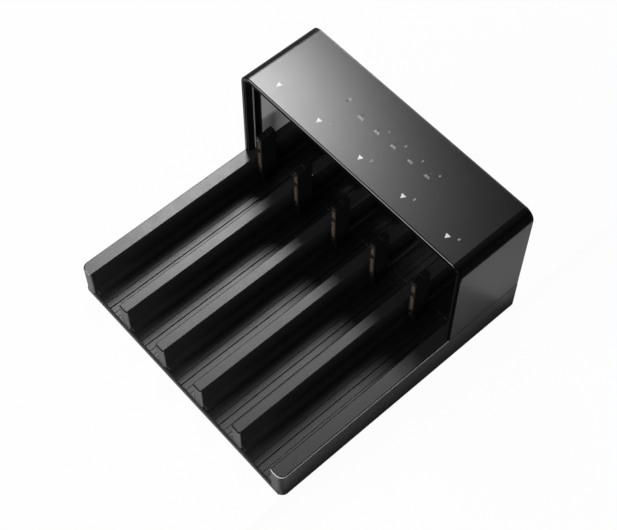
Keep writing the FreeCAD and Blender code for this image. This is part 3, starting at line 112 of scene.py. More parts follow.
def add(tree, kind, inputs=None, **settings):
    """Add one node. Settings are its properties; inputs are values or the sockets to link from."""
    node = tree.nodes.new(kind)
    for name, value in settings.items():
        setattr(node, name, value)
    for name, value in (inputs or {}).items():
        if isinstance(value, bpy.types.NodeSocket):
            tree.links.new(value, node.inputs[name])
        else:
            node.inputs[name].default_value = value
    return node


def surface(name, inputs):
    """A material whose standard shader has these plain inputs, with its tree and its shader."""
    material = bpy.data.materials.new(name)
    material.use_nodes = True
    tree = material.node_tree
    shader = tree.nodes["Principled BSDF"]
    for socket, value in inputs.items():
        shader.inputs[socket].default_value = value
    return material, tree, shader


def join(tree, source, shader, socket):
    """Let a pattern drive one input of a shader."""
    tree.links.new(source, shader.inputs[socket])


def wear(nodes, material):
    """Give CAD nodes their finish in place of the plain one they came with."""
    for name in nodes:
        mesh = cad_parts[name].data
        if not mesh.materials:
            mesh.materials.append(material)
        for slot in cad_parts[name].material_slots:
            slot.material = material
    print(material.name, "on", len(nodes), "nodes")


# %% [markdown]
# Most pieces are injection moulded. The steel mould is spark eroded or polished, so the plastic
# carries a fine grain, flows in faint clouds, and gets a little shinier where hands and drives
# rub it. Sharp edges don't exist either: a mould edge leaves a tiny radius, which the Bevel node
# gives to the normals, and rubbed edges turn slightly grey. All of it could be painted on a
# texture, but a noise on the piece's own coordinates has no seams and keeps its size in
# millimetres. A noise hardly leaves the range from 0.3 to 0.7, so that range is mapped to the
# wanted one. One function makes this finish, and each plastic gives it its own numbers.

# %% Moulded plastics
FLOW_MM, TOUCH_MM = 28, 9
NOISE_LOW, NOISE_HIGH = 0.3, 0.7
EDGE_STARTS, EDGE_FULL = 0.995, 0.93


def moulded(name, colour, cloud, rough, grain_mm, grain_deep, edge_mm, edge_colour, rub,
            ior=1.5, shine=0.5):
    """A moulded plastic. rough is a pair that the sheen wanders between; rub is how grey edges are."""
    material, tree, shader = surface(name, {"IOR": ior, "Specular IOR Level": shine})
    place = add(tree, "ShaderNodeTexCoord").outputs["Object"]
    flow = add(tree, "ShaderNodeTexNoise",
               {"Vector": place, "Scale": 1 / (FLOW_MM * MM), "Detail": 3.0})
    paint = add(tree, "ShaderNodeMixRGB",
                {"Fac": flow.outputs["Fac"], "Color1": srgb(colour), "Color2": srgb(cloud)})
    handled = add(tree, "ShaderNodeTexNoise",
                  {"Vector": place, "Scale": 1 / (TOUCH_MM * MM), "Detail": 4.0})
    sheen = add(tree, "ShaderNodeMapRange",
                {"Value": handled.outputs["Fac"], "From Min": NOISE_LOW, "From Max": NOISE_HIGH,
                 "To Min": rough[0], "To Max": rough[1]})
    join(tree, sheen.outputs["Result"], shader, "Roughness")
    soft = add(tree, "ShaderNodeBevel", {"Radius": edge_mm * MM}, samples=4)
    grain = add(tree, "ShaderNodeTexNoise",
                {"Vector": place, "Scale": 1 / (grain_mm * MM), "Detail": 2.0})
    relief = add(tree, "ShaderNodeBump", {"Height": grain.outputs["Fac"], "Distance": grain_deep * MM,
                                          "Normal": soft.outputs["Normal"]})
    join(tree, relief.outputs["Normal"], shader, "Normal")
    face = add(tree, "ShaderNodeNewGeometry").outputs["True Normal"]
    flat = add(tree, "ShaderNodeVectorMath", {0: face, 1: soft.outputs["Normal"]}, operation="DOT_PRODUCT")
    edge = add(tree, "ShaderNodeMapRange", {"Value": flat.outputs["Value"], "From Min": EDGE_STARTS,
                                            "From Max": EDGE_FULL, "To Max": rub})
    worn = add(tree, "ShaderNodeMixRGB", {"Fac": edge.outputs["Result"], "Color1": paint.outputs["Color"],
                                          "Color2": srgb(edge_colour)})
    join(tree, worn.outputs["Color"], shader, "Base Color")
    return material


print("clouds", FLOW_MM, "mm and touched patches", TOUCH_MM, "mm wide")

# %% [markdown]
# The tray, the rear deck and the bottom cover are ABS from a spark eroded mould. Its real grain
# is about 0.15 mm, finer than a pixel, so it is drawn at 0.7 mm and very shallow: it only frays
# the reflections a little, where roughness alone would blur them too evenly. This is what gives
# the ribs their soft grey bands.

# %% Satin ABS of the tray
SATIN = moulded("satin_abs_spark_eroded", "1d1d1f", "202022", rough=(0.33, 0.36), grain_mm=0.7,
                grain_deep=0.003, edge_mm=0.3, edge_colour="2c2c2e", rub=0.3, ior=1.53)
wear(["bay_tray", "rear_deck", "bottom_cover"], SATIN)

# %% [markdown]
# The hood comes from a finely polished mould, so it mirrors the softbox as a smooth gradient from
# near white on the left to near black on the right. A painted gradient would stay in place when
# the camera moves, and this one moves with it as a real mirror image does. Only a long, very
# shallow waviness is left of the mould, and fingers leave slightly duller patches. The frame in
# the hood's mouth is the same plastic left matte, so it stays black behind the bright rim.

# %% Polished ABS of the hood
GLOSS = moulded("polished_abs", "09090a", "0b0b0c", rough=(0.208, 0.224), grain_mm=2.2,
                grain_deep=0.003, edge_mm=0.2, edge_colour="3a3a3c", rub=0.4, ior=1.46)
MATTE_AND_PAINTED_SHADE = moulded("matte_frame_and_lip_shade_abs", "040404", "060606", rough=(0.55, 0.6), grain_mm=0.8,
                grain_deep=0.01, edge_mm=0.1, edge_colour="101011", rub=0.3, shine=0.15)
wear(["hood_shell"], GLOSS)
wear(["hood_frame"], MATTE_AND_PAINTED_SHADE)

# %% [markdown]
# Inside the hood the liners, the shelf and the rear panel are plain ABS with a coarser texture,
# which hides scratches. The liners and the shelf are sprayed grey. The left liner faces the open
# bays and the light, so it shows as a grey panel. The feet are pressed from rubber, which is
# duller still and collects pale dust. They differ in numbers alone, so they share one function.

# %% Inner plastics and rubber
INNER = moulded("textured_inner_abs", "131314", "19191a", rough=(0.5, 0.6), grain_mm=0.9,
                grain_deep=0.03, edge_mm=0.25, edge_colour="3c3c3e", rub=0.3)
LINER = moulded("grey_sprayed_abs", "b0b0b2", "b8b8ba", rough=(0.5, 0.6), grain_mm=0.9,
                grain_deep=0.02, edge_mm=0.25, edge_colour="9c9c9e", rub=0.3)
RUBBER = moulded("pressed_foot_rubber", "1b1b1b", "242423", rough=(0.75, 0.9), grain_mm=0.8,
                 grain_deep=0.05, edge_mm=0.4, edge_colour="38383a", rub=0.4)
wear(["rear_panel"], INNER)
wear(["left_liner", "right_liner", "board_shelf"], LINER)
wear(["rubber_feet"], RUBBER)

# %% [markdown]
# Only the flat side of a liner is grey. Its foot and its narrow edges carry painted shade, a near black, so
# they stay dark where light would fall on them. The piece could be cut in two along that line, but a mask
# in the material leaves it whole: the grey is full where the surface faces sideways, and it starts within
# half a millimetre above the foot.

# %% Painted shade on the liners' foot and edges
PAINTED_SHADE_TOP, PAINTED_SHADE_SOFT = 33.1 * MM, 0.4 * MM
tree = LINER.node_tree
shader = tree.nodes["Principled BSDF"]
grey = shader.inputs["Base Color"].links[0].from_socket
spot = add(tree, "ShaderNodeTexCoord").outputs["Object"]
level = add(tree, "ShaderNodeSeparateXYZ", {"Vector": spot}).outputs["Z"]
sprayed = add(tree, "ShaderNodeMapRange",
              {"Value": level, "From Min": PAINTED_SHADE_TOP, "From Max": PAINTED_SHADE_TOP + PAINTED_SHADE_SOFT})
facing = add(tree, "ShaderNodeNewGeometry").outputs["True Normal"]
across = add(tree, "ShaderNodeSeparateXYZ", {"Vector": facing}).outputs["X"]
sideways = add(tree, "ShaderNodeMath", {0: across}, operation="ABSOLUTE")
cover = add(tree, "ShaderNodeMath", {0: sprayed.outputs["Result"], 1: sideways.outputs[0]},
            operation="MULTIPLY")
# The near black below the mask top and on the edges is painted shade.
grey_over_painted_shade = add(tree, "ShaderNodeMixRGB",
               {"Fac": cover.outputs[0], "Color1": srgb("161617"), "Color2": grey})
join(tree, grey_over_painted_shade.outputs["Color"], shader, "Base Color")
print("grey from", round(PAINTED_SHADE_TOP / MM, 2), "mm above the table")

# %% [markdown]
# Connectors, the switch frame and chips are glass-filled plastics. The fibres leave a faint dry
# look, so they are rougher than the case and their edges catch a little more light. The rocker
# and the start button come from a polished mould and are the shiniest plastic at the back.

# %% Glass-filled connector plastics and the controls
PBT = moulded("glass_filled_pbt", "050506", "09090a", rough=(0.45, 0.52), grain_mm=0.6,
              grain_deep=0.012, edge_mm=0.15, edge_colour="242426", rub=0.4, shine=0.3)
EPOXY = moulded("moulded_chip_epoxy", "1c1c1d", "262627", rough=(0.5, 0.62), grain_mm=0.5,
                grain_deep=0.01, edge_mm=0.15, edge_colour="39393a", rub=0.4, ior=1.55)
BUTTON = moulded("polished_button_abs", "101011", "141415", rough=(0.18, 0.24), grain_mm=1.5,
                 grain_deep=0.004, edge_mm=0.3, edge_colour="55555a", rub=0.5)
wear([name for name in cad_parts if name.startswith(("drive_socket", "connector_post"))], PBT)
wear(["board_header", "ribbon_seat", "usb_tongue", "power_jack", "start_switch", "switch_frame"], PBT)
wear(["controller_chip", "memory_chips"], EPOXY)
wear(["power_rocker", "start_button", "switch_plunger"], BUTTON)

# %% [markdown]
# Metal parts are few: zinc-plated screws, the aluminium heat sink and capacitor cans, gold-flashed
# contacts and nickel-plated pins. Each is a mirror of its own tint that fine lines blur. The
# lines could be the shader's own anisotropy, but it needs a tangent on every mesh, so a stretched
# noise draws them: along the fins for extruded aluminium, all ways for tumbled plating. Real
# lines are a few hundredths of a millimetre apart and are drawn ten times as coarse to show.

# %% Metals
STAIN_MM = 5


def plated(name, colour, stain, rough, line_mm, stretch, deep):
    """A metal with fine lines. Along an axis whose stretch is below 1, the lines are longer."""
    material, tree, shader = surface(name, {"Metallic": 1.0})
    place = add(tree, "ShaderNodeTexCoord").outputs["Object"]
    drawn = add(tree, "ShaderNodeMapping", {"Vector": place, "Scale": stretch})
    lines = add(tree, "ShaderNodeTexNoise", {"Vector": drawn.outputs["Vector"],
                                             "Scale": 1 / (line_mm * MM), "Detail": 4.0})
    patch = add(tree, "ShaderNodeTexNoise",
                {"Vector": place, "Scale": 1 / (STAIN_MM * MM), "Detail": 3.0})
    tint = add(tree, "ShaderNodeMixRGB",
               {"Fac": patch.outputs["Fac"], "Color1": srgb(colour), "Color2": srgb(stain)})
    join(tree, tint.outputs["Color"], shader, "Base Color")
    blur = add(tree, "ShaderNodeMapRange",
               {"Value": lines.outputs["Fac"], "From Min": NOISE_LOW, "From Max": NOISE_HIGH,
                "To Min": rough[0], "To Max": rough[1]})
    join(tree, blur.outputs["Result"], shader, "Roughness")
    relief = add(tree, "ShaderNodeBump", {"Height": lines.outputs["Fac"], "Distance": deep * MM})
    join(tree, relief.outputs["Normal"], shader, "Normal")
    return material


ZINC = plated("zinc_plated_steel", "b9bbbd", "9c9ea2", rough=(0.25, 0.42), line_mm=0.5,
              stretch=(1, 1, 1), deep=0.01)
ALUMINIUM = plated("extruded_aluminium", "c6c8ca", "b2b4b7", rough=(0.28, 0.4), line_mm=0.4,
                   stretch=(1, 0.08, 1), deep=0.012)
CONTACT = plated("gold_flashed_contacts", "b39a78", "8f7a5e", rough=(0.32, 0.5), line_mm=0.4,
                 stretch=(1, 1, 0.3), deep=0.01)
NICKEL = plated("nickel_plated_pins", "a9a8a4", "8f8e8a", rough=(0.22, 0.35), line_mm=0.5,
                stretch=(1, 1, 1), deep=0.006)
socket_contacts = [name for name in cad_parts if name.startswith("socket_contacts")]
wear([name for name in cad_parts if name.endswith("_screws")], ZINC)
wear(["heat_sink", "capacitors"], ALUMINIUM)
wear(socket_contacts + ["switch_blades", "jack_pin"], CONTACT)
wear(["guide_pegs", "usb_port"], NICKEL)

# %% [markdown]
# The circuit boards are glass cloth under a green solder mask. Copper tracks lie below the mask
# and show as slightly lighter, raised lines, and the cloth's weave shows faintly between them.
# They could be drawn track by track, but few are ever seen. A Voronoi pattern with straight
# distances makes cells with straight sides, and its borders are the tracks. Real tracks lie less
# than a millimetre apart, and these cells are 3.2 mm wide, so that they show at all.

# %% Circuit boards
TRACK_MM, WEAVE_MM = 3.2, 0.5


def solder_mask():
    """Green lacquer over straight copper tracks and woven glass."""
    material, tree, shader = surface("green_solder_mask", {"IOR": 1.52, "Coat Weight": 0.4,
                                                           "Coat Roughness": 0.15})
    place = add(tree, "ShaderNodeTexCoord").outputs["Object"]
    cells = add(tree, "ShaderNodeTexVoronoi", {"Vector": place, "Scale": 1 / (TRACK_MM * MM)},
                feature="F1", distance="CHEBYCHEV")
    track = add(tree, "ShaderNodeMapRange",
                {"Value": cells.outputs["Distance"], "From Min": 0.38, "From Max": 0.46})
    weave = add(tree, "ShaderNodeTexNoise",
                {"Vector": place, "Scale": 1 / (WEAVE_MM * MM), "Detail": 1.0})
    mask = add(tree, "ShaderNodeMixRGB",
               {"Fac": track.outputs["Result"], "Color1": srgb("12331f"), "Color2": srgb("1d5232")})
    join(tree, mask.outputs["Color"], shader, "Base Color")
    sheen = add(tree, "ShaderNodeMapRange", {"Value": weave.outputs["Fac"], "To Min": 0.28, "To Max": 0.5})
    join(tree, sheen.outputs["Result"], shader, "Roughness")
    height = add(tree, "ShaderNodeMath", {0: track.outputs["Result"], 1: 1.0, 2: weave.outputs["Fac"]},
                 operation="MULTIPLY_ADD")
    relief = add(tree, "ShaderNodeBump", {"Height": height.outputs[0], "Distance": 0.03 * MM})
    join(tree, relief.outputs["Normal"], shader, "Normal")
    return material


BOARD = solder_mask()
wear([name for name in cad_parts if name.endswith("_board") or name.startswith("riser_board")], BOARD)

# %% [markdown]
# The ribbon between two boards is a row of wires moulded side by side in grey vinyl. Each wire
# could be a round bar, but the strip is seen only through the vents, so a wave across its width
# gives the wires their round backs.

# %% Ribbon cable
WIRE_MM, DUST_MM = 1.27, 3


def ribbon():
    """Grey vinyl with one ridge for each wire."""
    material, tree, shader = surface("grey_vinyl_ribbon", {"IOR": 1.54})
    place = add(tree, "ShaderNodeTexCoord").outputs["Object"]
    wires = add(tree, "ShaderNodeTexWave", {"Vector": place, "Scale": math.pi / 10 / (WIRE_MM * MM)},
                wave_type="BANDS", bands_direction="X", wave_profile="SIN")
    dust = add(tree, "ShaderNodeTexNoise",
               {"Vector": place, "Scale": 1 / (DUST_MM * MM), "Detail": 4.0})
    dye = add(tree, "ShaderNodeMixRGB",
              {"Fac": dust.outputs["Fac"], "Color1": srgb("8d8e90"), "Color2": srgb("a6a7a8")})
    join(tree, dye.outputs["Color"], shader, "Base Color")
    sheen = add(tree, "ShaderNodeMapRange", {"Value": dust.outputs["Fac"], "To Min": 0.4, "To Max": 0.6})
    join(tree, sheen.outputs["Result"], shader, "Roughness")
    relief = add(tree, "ShaderNodeBump", {"Height": wires.outputs["Fac"], "Distance": 0.3 * MM})
    join(tree, relief.outputs["Normal"], shader, "Normal")
    return material


wear(["board_ribbon"], ribbon())

# %% [markdown]
# The indicator lights end in small rods that pass through the hood. They are cast in smoked
# resin, so unlit they are no more than dark dots in the shiny top. Real transmission would cost
# much time for dots of a few pixels, so a little light scatters below a dark surface instead.

# %% Light pipes
CLOUD_MM = 0.8


def smoked_resin():
    """Dark clear resin that scatters a little light."""
    material, tree, shader = surface("smoked_clear_resin", {"IOR": 1.49, "Subsurface Weight": 0.1,
                                                            "Subsurface Scale": 1.5 * MM})
    place = add(tree, "ShaderNodeTexCoord").outputs["Object"]
    cloud = add(tree, "ShaderNodeTexNoise",
                {"Vector": place, "Scale": 1 / (CLOUD_MM * MM), "Detail": 3.0})
    milk = add(tree, "ShaderNodeMixRGB",
               {"Fac": cloud.outputs["Fac"], "Color1": srgb("0e0e10"), "Color2": srgb("19191b")})
    join(tree, milk.outputs["Color"], shader, "Base Color")
    sheen = add(tree, "ShaderNodeMapRange", {"Value": cloud.outputs["Fac"], "To Min": 0.25, "To Max": 0.45})
    join(tree, sheen.outputs["Result"], shader, "Roughness")
    return material


wear(["lamps", "light_pipes"], smoked_resin())

# %% [markdown]
# All new pieces below are films, lines and small ends on the case, and every one is modelled as a
# bmesh in its final place. Each could be placed by its object, but a pattern on Object coordinates would
# turn with it. So one function makes a piece of any finished bmesh, lets it ride on the case and
# prints how many faces it has.


# %% From a bmesh to a piece
def make_piece(name, shape, material):
    """Make an object of a finished bmesh. The object itself stays at the origin."""
    mesh = bpy.data.meshes.new(name)
    shape.to_mesh(mesh)
    shape.free()
    mesh.materials.append(material)
    piece = put(bpy.data.objects.new(name, mesh))
    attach(piece, "root")
    print(name, "faces:", len(mesh.polygons))
    return piece


# %% [markdown]
# The marks on the hood are pad printed: a soft pad lays a film of pale ink a few hundredths of a
# millimetre thick. They could be an image on the hood, but an image goes soft when the camera
# comes near. Here each mark is a thin piece that stands that much above the plastic. The ink
# covers unevenly, which the material's noise gives.

# %% Ink and the way to lay it on
HOOD_TOP = cad_box[1][2]
INK_THICK = 0.04 * MM
COVER_MM = 0.6


def pad_ink(name, colour, thin_colour, shine=0.5):
    """Printed ink that is thin_colour where it covers badly."""
    material, tree, shader = surface(name, {"IOR": 1.48, "Specular IOR Level": shine})
    place = add(tree, "ShaderNodeTexCoord").outputs["Object"]
    cover = add(tree, "ShaderNodeTexNoise",
                {"Vector": place, "Scale": 1 / (COVER_MM * MM), "Detail": 3.0})
    film = add(tree, "ShaderNodeMixRGB",
               {"Fac": cover.outputs["Fac"], "Color1": srgb(thin_colour), "Color2": srgb(colour)})
    join(tree, film.outputs["Color"], shader, "Base Color")
    sheen = add(tree, "ShaderNodeMapRange", {"Value": cover.outputs["Fac"], "To Min": 0.26, "To Max": 0.36})
    join(tree, sheen.outputs["Result"], shader, "Roughness")
    relief = add(tree, "ShaderNodeBump", {"Height": cover.outputs["Fac"], "Distance": 0.002 * MM})
    join(tree, relief.outputs["Normal"], shader, "Normal")
    return material


WHITE_INK = pad_ink("white_pad_ink", "e8e8e9", "dededf")
GREY_INK = pad_ink("grey_pad_ink", "c9cacb", "a9aaac")


def lay_ink(name, shape, x, y, ink):
    """Thicken a flat bmesh, put it on the hood at x, y in metres, and make it a piece."""
    bmesh.ops.recalc_face_normals(shape, faces=shape.faces)
    if shape.faces and shape.faces[0].normal.z < 0:
        bmesh.ops.reverse_faces(shape, faces=shape.faces)
    film = bmesh.ops.extrude_face_region(shape, geom=shape.faces[:])
    lifted = [item for item in film["geom"] if isinstance(item, bmesh.types.BMVert)]
    bmesh.ops.translate(shape, verts=lifted, vec=(0, 0, INK_THICK))
    bmesh.ops.translate(shape, verts=shape.verts, vec=(x, y, HOOD_TOP))
    bmesh.ops.recalc_face_normals(shape, faces=shape.faces)
    return make_piece(name, shape, ink)


print("ink is", INK_THICK / MM, "mm thick, on a hood", round(HOOD_TOP / MM, 2), "mm high")

# %% [markdown]
# An arrow over each bay shows where a drive goes. It is a triangle that points to the open
# bays. Its corners could be typed in, but a circle of three corners is one already: with a
# radius of 1 it is the root of 3 wide and 1.5 long, so it is scaled by these.

# %% Bay arrows
ARROW_WIDE, ARROW_LONG = 4.0 * MM, 3.7 * MM
ARROW_X, ARROW_PITCH, ARROW_Y = -82.3 * MM, 40.95 * MM, 55.7 * MM
for bay in range(5):
    arrow = bmesh.new()
    bmesh.ops.create_circle(arrow, cap_ends=True, segments=3, radius=1.0)
    bmesh.ops.rotate(arrow, verts=arrow.verts, matrix=Matrix.Rotation(math.pi, 3, "Z"))
    bmesh.ops.scale(arrow, verts=arrow.verts, vec=(ARROW_WIDE / math.sqrt(3), ARROW_LONG / 1.5, 1))
    lay_ink(f"bay_arrow_{bay + 1}", arrow, ARROW_X + bay * ARROW_PITCH, ARROW_Y, WHITE_INK)
print("arrows:", 5, "pitch mm:", ARROW_PITCH / MM)

# %% [markdown]
# Plain numbers name the four bays that are written to and their lights, and a row of shares
# below the lights tells how far a copy has come. Tracing each digit would be slow, so each is a
# text curve, which is made a flat mesh before it gets its place.

# %% Numbers
DIGIT_TALL, SHARE_TALL = 2.2 * MM, 1.9 * MM
DIGIT_SHARE = 0.7
DIGIT_RIGHT, DIGIT_BACK = 6.9 * MM, 3.7 * MM
LIGHT_X, LIGHT_PITCH, LIGHT_Y = -40.75 * MM, 16.04 * MM, 81.25 * MM
SHARES = ("100%", "80%", "60%", "40%", "20%")
SHARE_RIGHT, SHARE_FRONT = 0.5 * MM, 3.2 * MM
NUMBER_RIGHT, NUMBER_BACK = 5.9 * MM, 3.4 * MM


def lettering(words, height):
    """A flat bmesh of some words, centred on the origin. A digit is DIGIT_SHARE of the font's size."""
    text = bpy.data.curves.new("lettering", "FONT")
    text.body = words
    text.size = height / DIGIT_SHARE
    text.align_x, text.align_y = "CENTER", "CENTER"
    text.resolution_u = 3
    writer = put(bpy.data.objects.new("lettering", text))
    flat = bpy.data.meshes.new_from_object(writer)
    bpy.data.objects.remove(writer)
    shape = bmesh.new()
    shape.from_mesh(flat)
    bmesh.ops.remove_doubles(shape, verts=shape.verts, dist=0.005 * MM)
    return shape


for bay in range(1, 5):
    x = ARROW_X + bay * ARROW_PITCH + DIGIT_RIGHT
    lay_ink(f"bay_number_{bay}", lettering(str(bay), DIGIT_TALL), x, ARROW_Y + DIGIT_BACK, GREY_INK)
for step, share in enumerate(SHARES, 1):
    x = LIGHT_X + step * LIGHT_PITCH
    lay_ink(f"share_{step}", lettering(share, SHARE_TALL), x + SHARE_RIGHT, LIGHT_Y - SHARE_FRONT, GREY_INK)
    if step > 1:
        number = lettering(str(step - 1), SHARE_TALL)
        lay_ink(f"light_number_{step - 1}", number, x + NUMBER_RIGHT, LIGHT_Y + NUMBER_BACK, GREY_INK)
print("shares:", SHARES)

# %% [markdown]
# The first light shows that the power is on, so it has the usual sign: a ring with a gap at the
# top and a bar in it. It could be cut from a full ring, but a spin that stops short draws the
# ring and leaves the gap in one go, from one short edge.

# %% Power sign
SIGN_RADIUS, SIGN_LINE = 0.85 * MM, 0.26 * MM
SIGN_RIGHT, SIGN_BACK = 0.3 * MM, 2.7 * MM
BAR_MIDDLE = 0.75 * SIGN_RADIUS
HALF_GAP = math.radians(35)
sign = bmesh.new()
inner = sign.verts.new((0, SIGN_RADIUS - SIGN_LINE / 2, 0))
outer = sign.verts.new((0, SIGN_RADIUS + SIGN_LINE / 2, 0))
rim = sign.edges.new((inner, outer))
bmesh.ops.rotate(sign, verts=sign.verts, matrix=Matrix.Rotation(HALF_GAP, 3, "Z"))
bmesh.ops.spin(sign, geom=[inner, outer, rim], cent=(0, 0, 0), axis=(0, 0, 1),
               angle=2 * (math.pi - HALF_GAP), steps=20, use_merge=False)
bar = bmesh.ops.create_grid(sign, x_segments=1, y_segments=1, size=0.5)["verts"]
bmesh.ops.scale(sign, verts=bar, vec=(SIGN_LINE, SIGN_RADIUS, 1))
bmesh.ops.translate(sign, verts=bar, vec=(0, BAR_MIDDLE, 0))
lay_ink("power_sign", sign, LIGHT_X + SIGN_RIGHT, LIGHT_Y + SIGN_BACK, GREY_INK)
print("power sign:", round(2 * SIGN_RADIUS / MM, 2), "mm wide")

# %% [markdown]
# Just behind the front rim, the polished top has a dark line of painted shade, which stands for a fine
# groove. At the back rim, a strip of painted highlight stands for the lit edge.
# Both are narrower than a millimetre. They could be cut into the hood, but the CAD piece stays
# as it is, so each is a thin ribbon on the surface: a short edge runs up the hood's side, turns
# round each shoulder with a spin, and comes down on the other side.


# %% Sweep along the hood's outline
def follow_outline(shape, left, right, foot, top, radius):
    """Sweep the edge that stands in shape over the left shoulder, the top and the right shoulder."""
    edge = shape.edges[:]

    def slide(way):
        moved = bmesh.ops.extrude_edge_only(shape, edges=edge)["geom"]
        ends = [item for item in moved if isinstance(item, bmesh.types.BMVert)]
        bmesh.ops.translate(shape, verts=ends, vec=way)
        edge[:] = [item for item in moved if isinstance(item, bmesh.types.BMEdge)]

    def round_shoulder(x):
        swept = bmesh.ops.spin(shape, geom=edge[0].verts[:] + edge, cent=(x, 0, top - radius),
                               axis=(0, 1, 0), angle=math.pi / 2, steps=10, use_merge=False)["geom_last"]
        edge[:] = [item for item in swept if isinstance(item, bmesh.types.BMEdge)]

    slide((0, 0, top - radius - foot))
    round_shoulder(left + radius)
    slide((right - left - 2 * radius, 0, 0))
    round_shoulder(right - radius)
    slide((0, 0, foot - top + radius))


# %% [markdown]
# The groove's ribbon is painted shade: a near black film that mirrors next to nothing. The back strip is a
# painted highlight: the hood's plastic, lighter and with a little more shine. Both ribbons get a thickness
# at the end, so that they are closed pieces and not open sheets.

# %% Rim lines
# One painted shade film and one painted highlight for the rim.
PAINTED_SHADE_FILM = pad_ink("painted_shade_black_film", "040404", "060606", shine=0.02)
RIM_PAINTED_HIGHLIGHT = moulded("painted_rim_highlight_abs", "1c1c1e", "202022", rough=(0.24, 0.28), grain_mm=2.2,
                     grain_deep=0.003, edge_mm=0.1, edge_colour="3a3a3c", rub=0.3, ior=1.46, shine=0.8)
FILM = 0.02 * MM
SHOULDER = 8.5 * MM
LINE_WIDE, LINE_DROP = 0.85 * MM, 3 * MM
SHADE_LINE_BEHIND_FRONT, HIGHLIGHT_BEFORE_BACK = 0.98 * MM, 0.95 * MM
hood_low, hood_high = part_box("hood_shell")
for name, y, finish in (("rim_shade_front", hood_low.y + SHADE_LINE_BEHIND_FRONT, PAINTED_SHADE_FILM),
                        ("rim_highlight_back", hood_high.y - HIGHLIGHT_BEFORE_BACK, RIM_PAINTED_HIGHLIGHT)):
    line = bmesh.new()
    left, right = hood_low.x - FILM, hood_high.x + FILM
    foot, top = HOOD_TOP - SHOULDER - LINE_DROP, HOOD_TOP + FILM
    start = [line.verts.new((left, y + side * LINE_WIDE / 2, foot)) for side in (-1, 1)]
    line.edges.new(start)
    follow_outline(line, left, right, foot, top, SHOULDER)
    bmesh.ops.recalc_face_normals(line, faces=line.faces)
    if line.faces[0].normal.x > 0:
        bmesh.ops.reverse_faces(line, faces=line.faces)
    bmesh.ops.solidify(line, geom=line.faces[:], thickness=FILM)
    make_piece(name, line, finish)
    print(name, "at mm", round(y / MM, 2))

# %% [markdown]
# The frame in the hood's mouth ends in a small bead on each side, which stiffens its back edge.
# It stands free of the wall's shade, and its grey is a painted highlight for its lit edge, so it shows as
# one thin light line between two dark bands.
# A line of paint would look the same from the photograph's view alone, so it is a real bar.

# %% Frame beads
BEAD_PAINTED_HIGHLIGHT = moulded("painted_bead_highlight_abs", "6a6a6c", "727274", rough=(0.5, 0.56), grain_mm=0.8,
               grain_deep=0.01, edge_mm=0.1, edge_colour="808082", rub=0.3)
FRAME_IN, BEAD_WIDE = 103.75 * MM, 0.7 * MM
BEAD_FRONT, BEAD_BACK, BEAD_FOOT, BEAD_TOP = 48.9 * MM, 49.8 * MM, 31.6 * MM, 112.0 * MM


def box_piece(name, low, high, material):
    """A rectangular piece between two corners in metres, with a small bevel."""
    shape = bmesh.new()
    bmesh.ops.create_cube(shape, size=1.0)
    size = [b - a for a, b in zip(low, high)]
    bmesh.ops.scale(shape, verts=shape.verts, vec=size)
    bmesh.ops.translate(shape, verts=shape.verts, vec=[(a + b) / 2 for a, b in zip(low, high)])
    bmesh.ops.bevel(shape, geom=shape.edges[:], offset=min(size) * 0.2, segments=2, profile=0.5,
                    affect="EDGES", material=-1)
    return make_piece(name, shape, material)


for name, side in (("left", -1), ("right", 1)):
    x_low, x_high = sorted((side * FRAME_IN, side * (FRAME_IN - BEAD_WIDE)))
    box_piece(f"frame_bead_{name}", (x_low, BEAD_FRONT, BEAD_FOOT), (x_high, BEAD_BACK, BEAD_TOP),
              BEAD_PAINTED_HIGHLIGHT)
print("frame beads:", 2)

# %% [markdown]
# The tray's top edges are bevelled. A painted highlight draws a bright line on the long outer bevel of the
# right wall, and painted shade keeps the short bevels at the rib ends and the lip of the floor dark. The
# faces could get their own material slots, but a CAD piece keeps the one it has. So each line is a skin of
# two hundredths of a millimetre over the CAD bevel, made from the piece's own faces, and it follows every
# corner.


# %% Skins over chosen faces
def bevel_skin(name, node, picks, material, cuts=()):
    """Copy the node's faces that picks(normal, middle in mm) accepts, and lift them off it.

    Each cut is a point and a direction; what lies beyond the point in that direction is left out.
    """
    shape = bmesh.new()
    shape.from_mesh(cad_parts[node].data)
    bmesh.ops.remove_doubles(shape, verts=shape.verts, dist=0.001 * MM)
    rest = [face for face in shape.faces if not picks(face.normal, face.calc_center_median() / MM)]
    bmesh.ops.delete(shape, geom=rest, context="FACES")
    for point, way in cuts:
        everything = shape.verts[:] + shape.edges[:] + shape.faces[:]
        bmesh.ops.bisect_plane(shape, geom=everything, plane_co=point, plane_no=way, clear_outer=True)
    shape.normal_update()
    lifted = {vert: vert.co + vert.normal * FILM for vert in shape.verts}
    for vert, place in lifted.items():
        vert.co = place
    bmesh.ops.solidify(shape, geom=shape.faces[:], thickness=FILM)
    for face in shape.faces:
        face.smooth = False
    return make_piece(name, shape, material)


# %% [markdown]
# A face is chosen by the way it leans and by where its middle is, in millimetres. Numbers of faces would be
# shorter, but they change whenever the CAD does. The tray has four kinds of edge, and the hood's mouth has
# two that get painted shade: its right side and the strip just below the rim.

# %% Which faces get a skin
RIB_ZONE, WALL_ZONE, WALL_MIDDLE = 96, 96.4, 100
FRONT_ZONE, LIP_BACK = -105, -104
WALL_BEVEL_FOOT, RIB_BEVEL_FOOT, LIP_TOP, CORNER_FOOT = 27, 25, 12, 10
MOUTH_ZONE, MOUTH_SIDE = 43.2, 101
RIM_END, RIM_FOOT = 99.3, 117


def right_outer(normal, middle):
    """The bevel along the right wall's outside and round its front end."""
    leans = 0.6 < normal.z < 0.8 and (normal.x > 0.3 or normal.y < -0.3)
    outside = middle.x > WALL_MIDDLE or middle.y < FRONT_ZONE
    return leans and outside and middle.x > WALL_ZONE and middle.z > WALL_BEVEL_FOOT


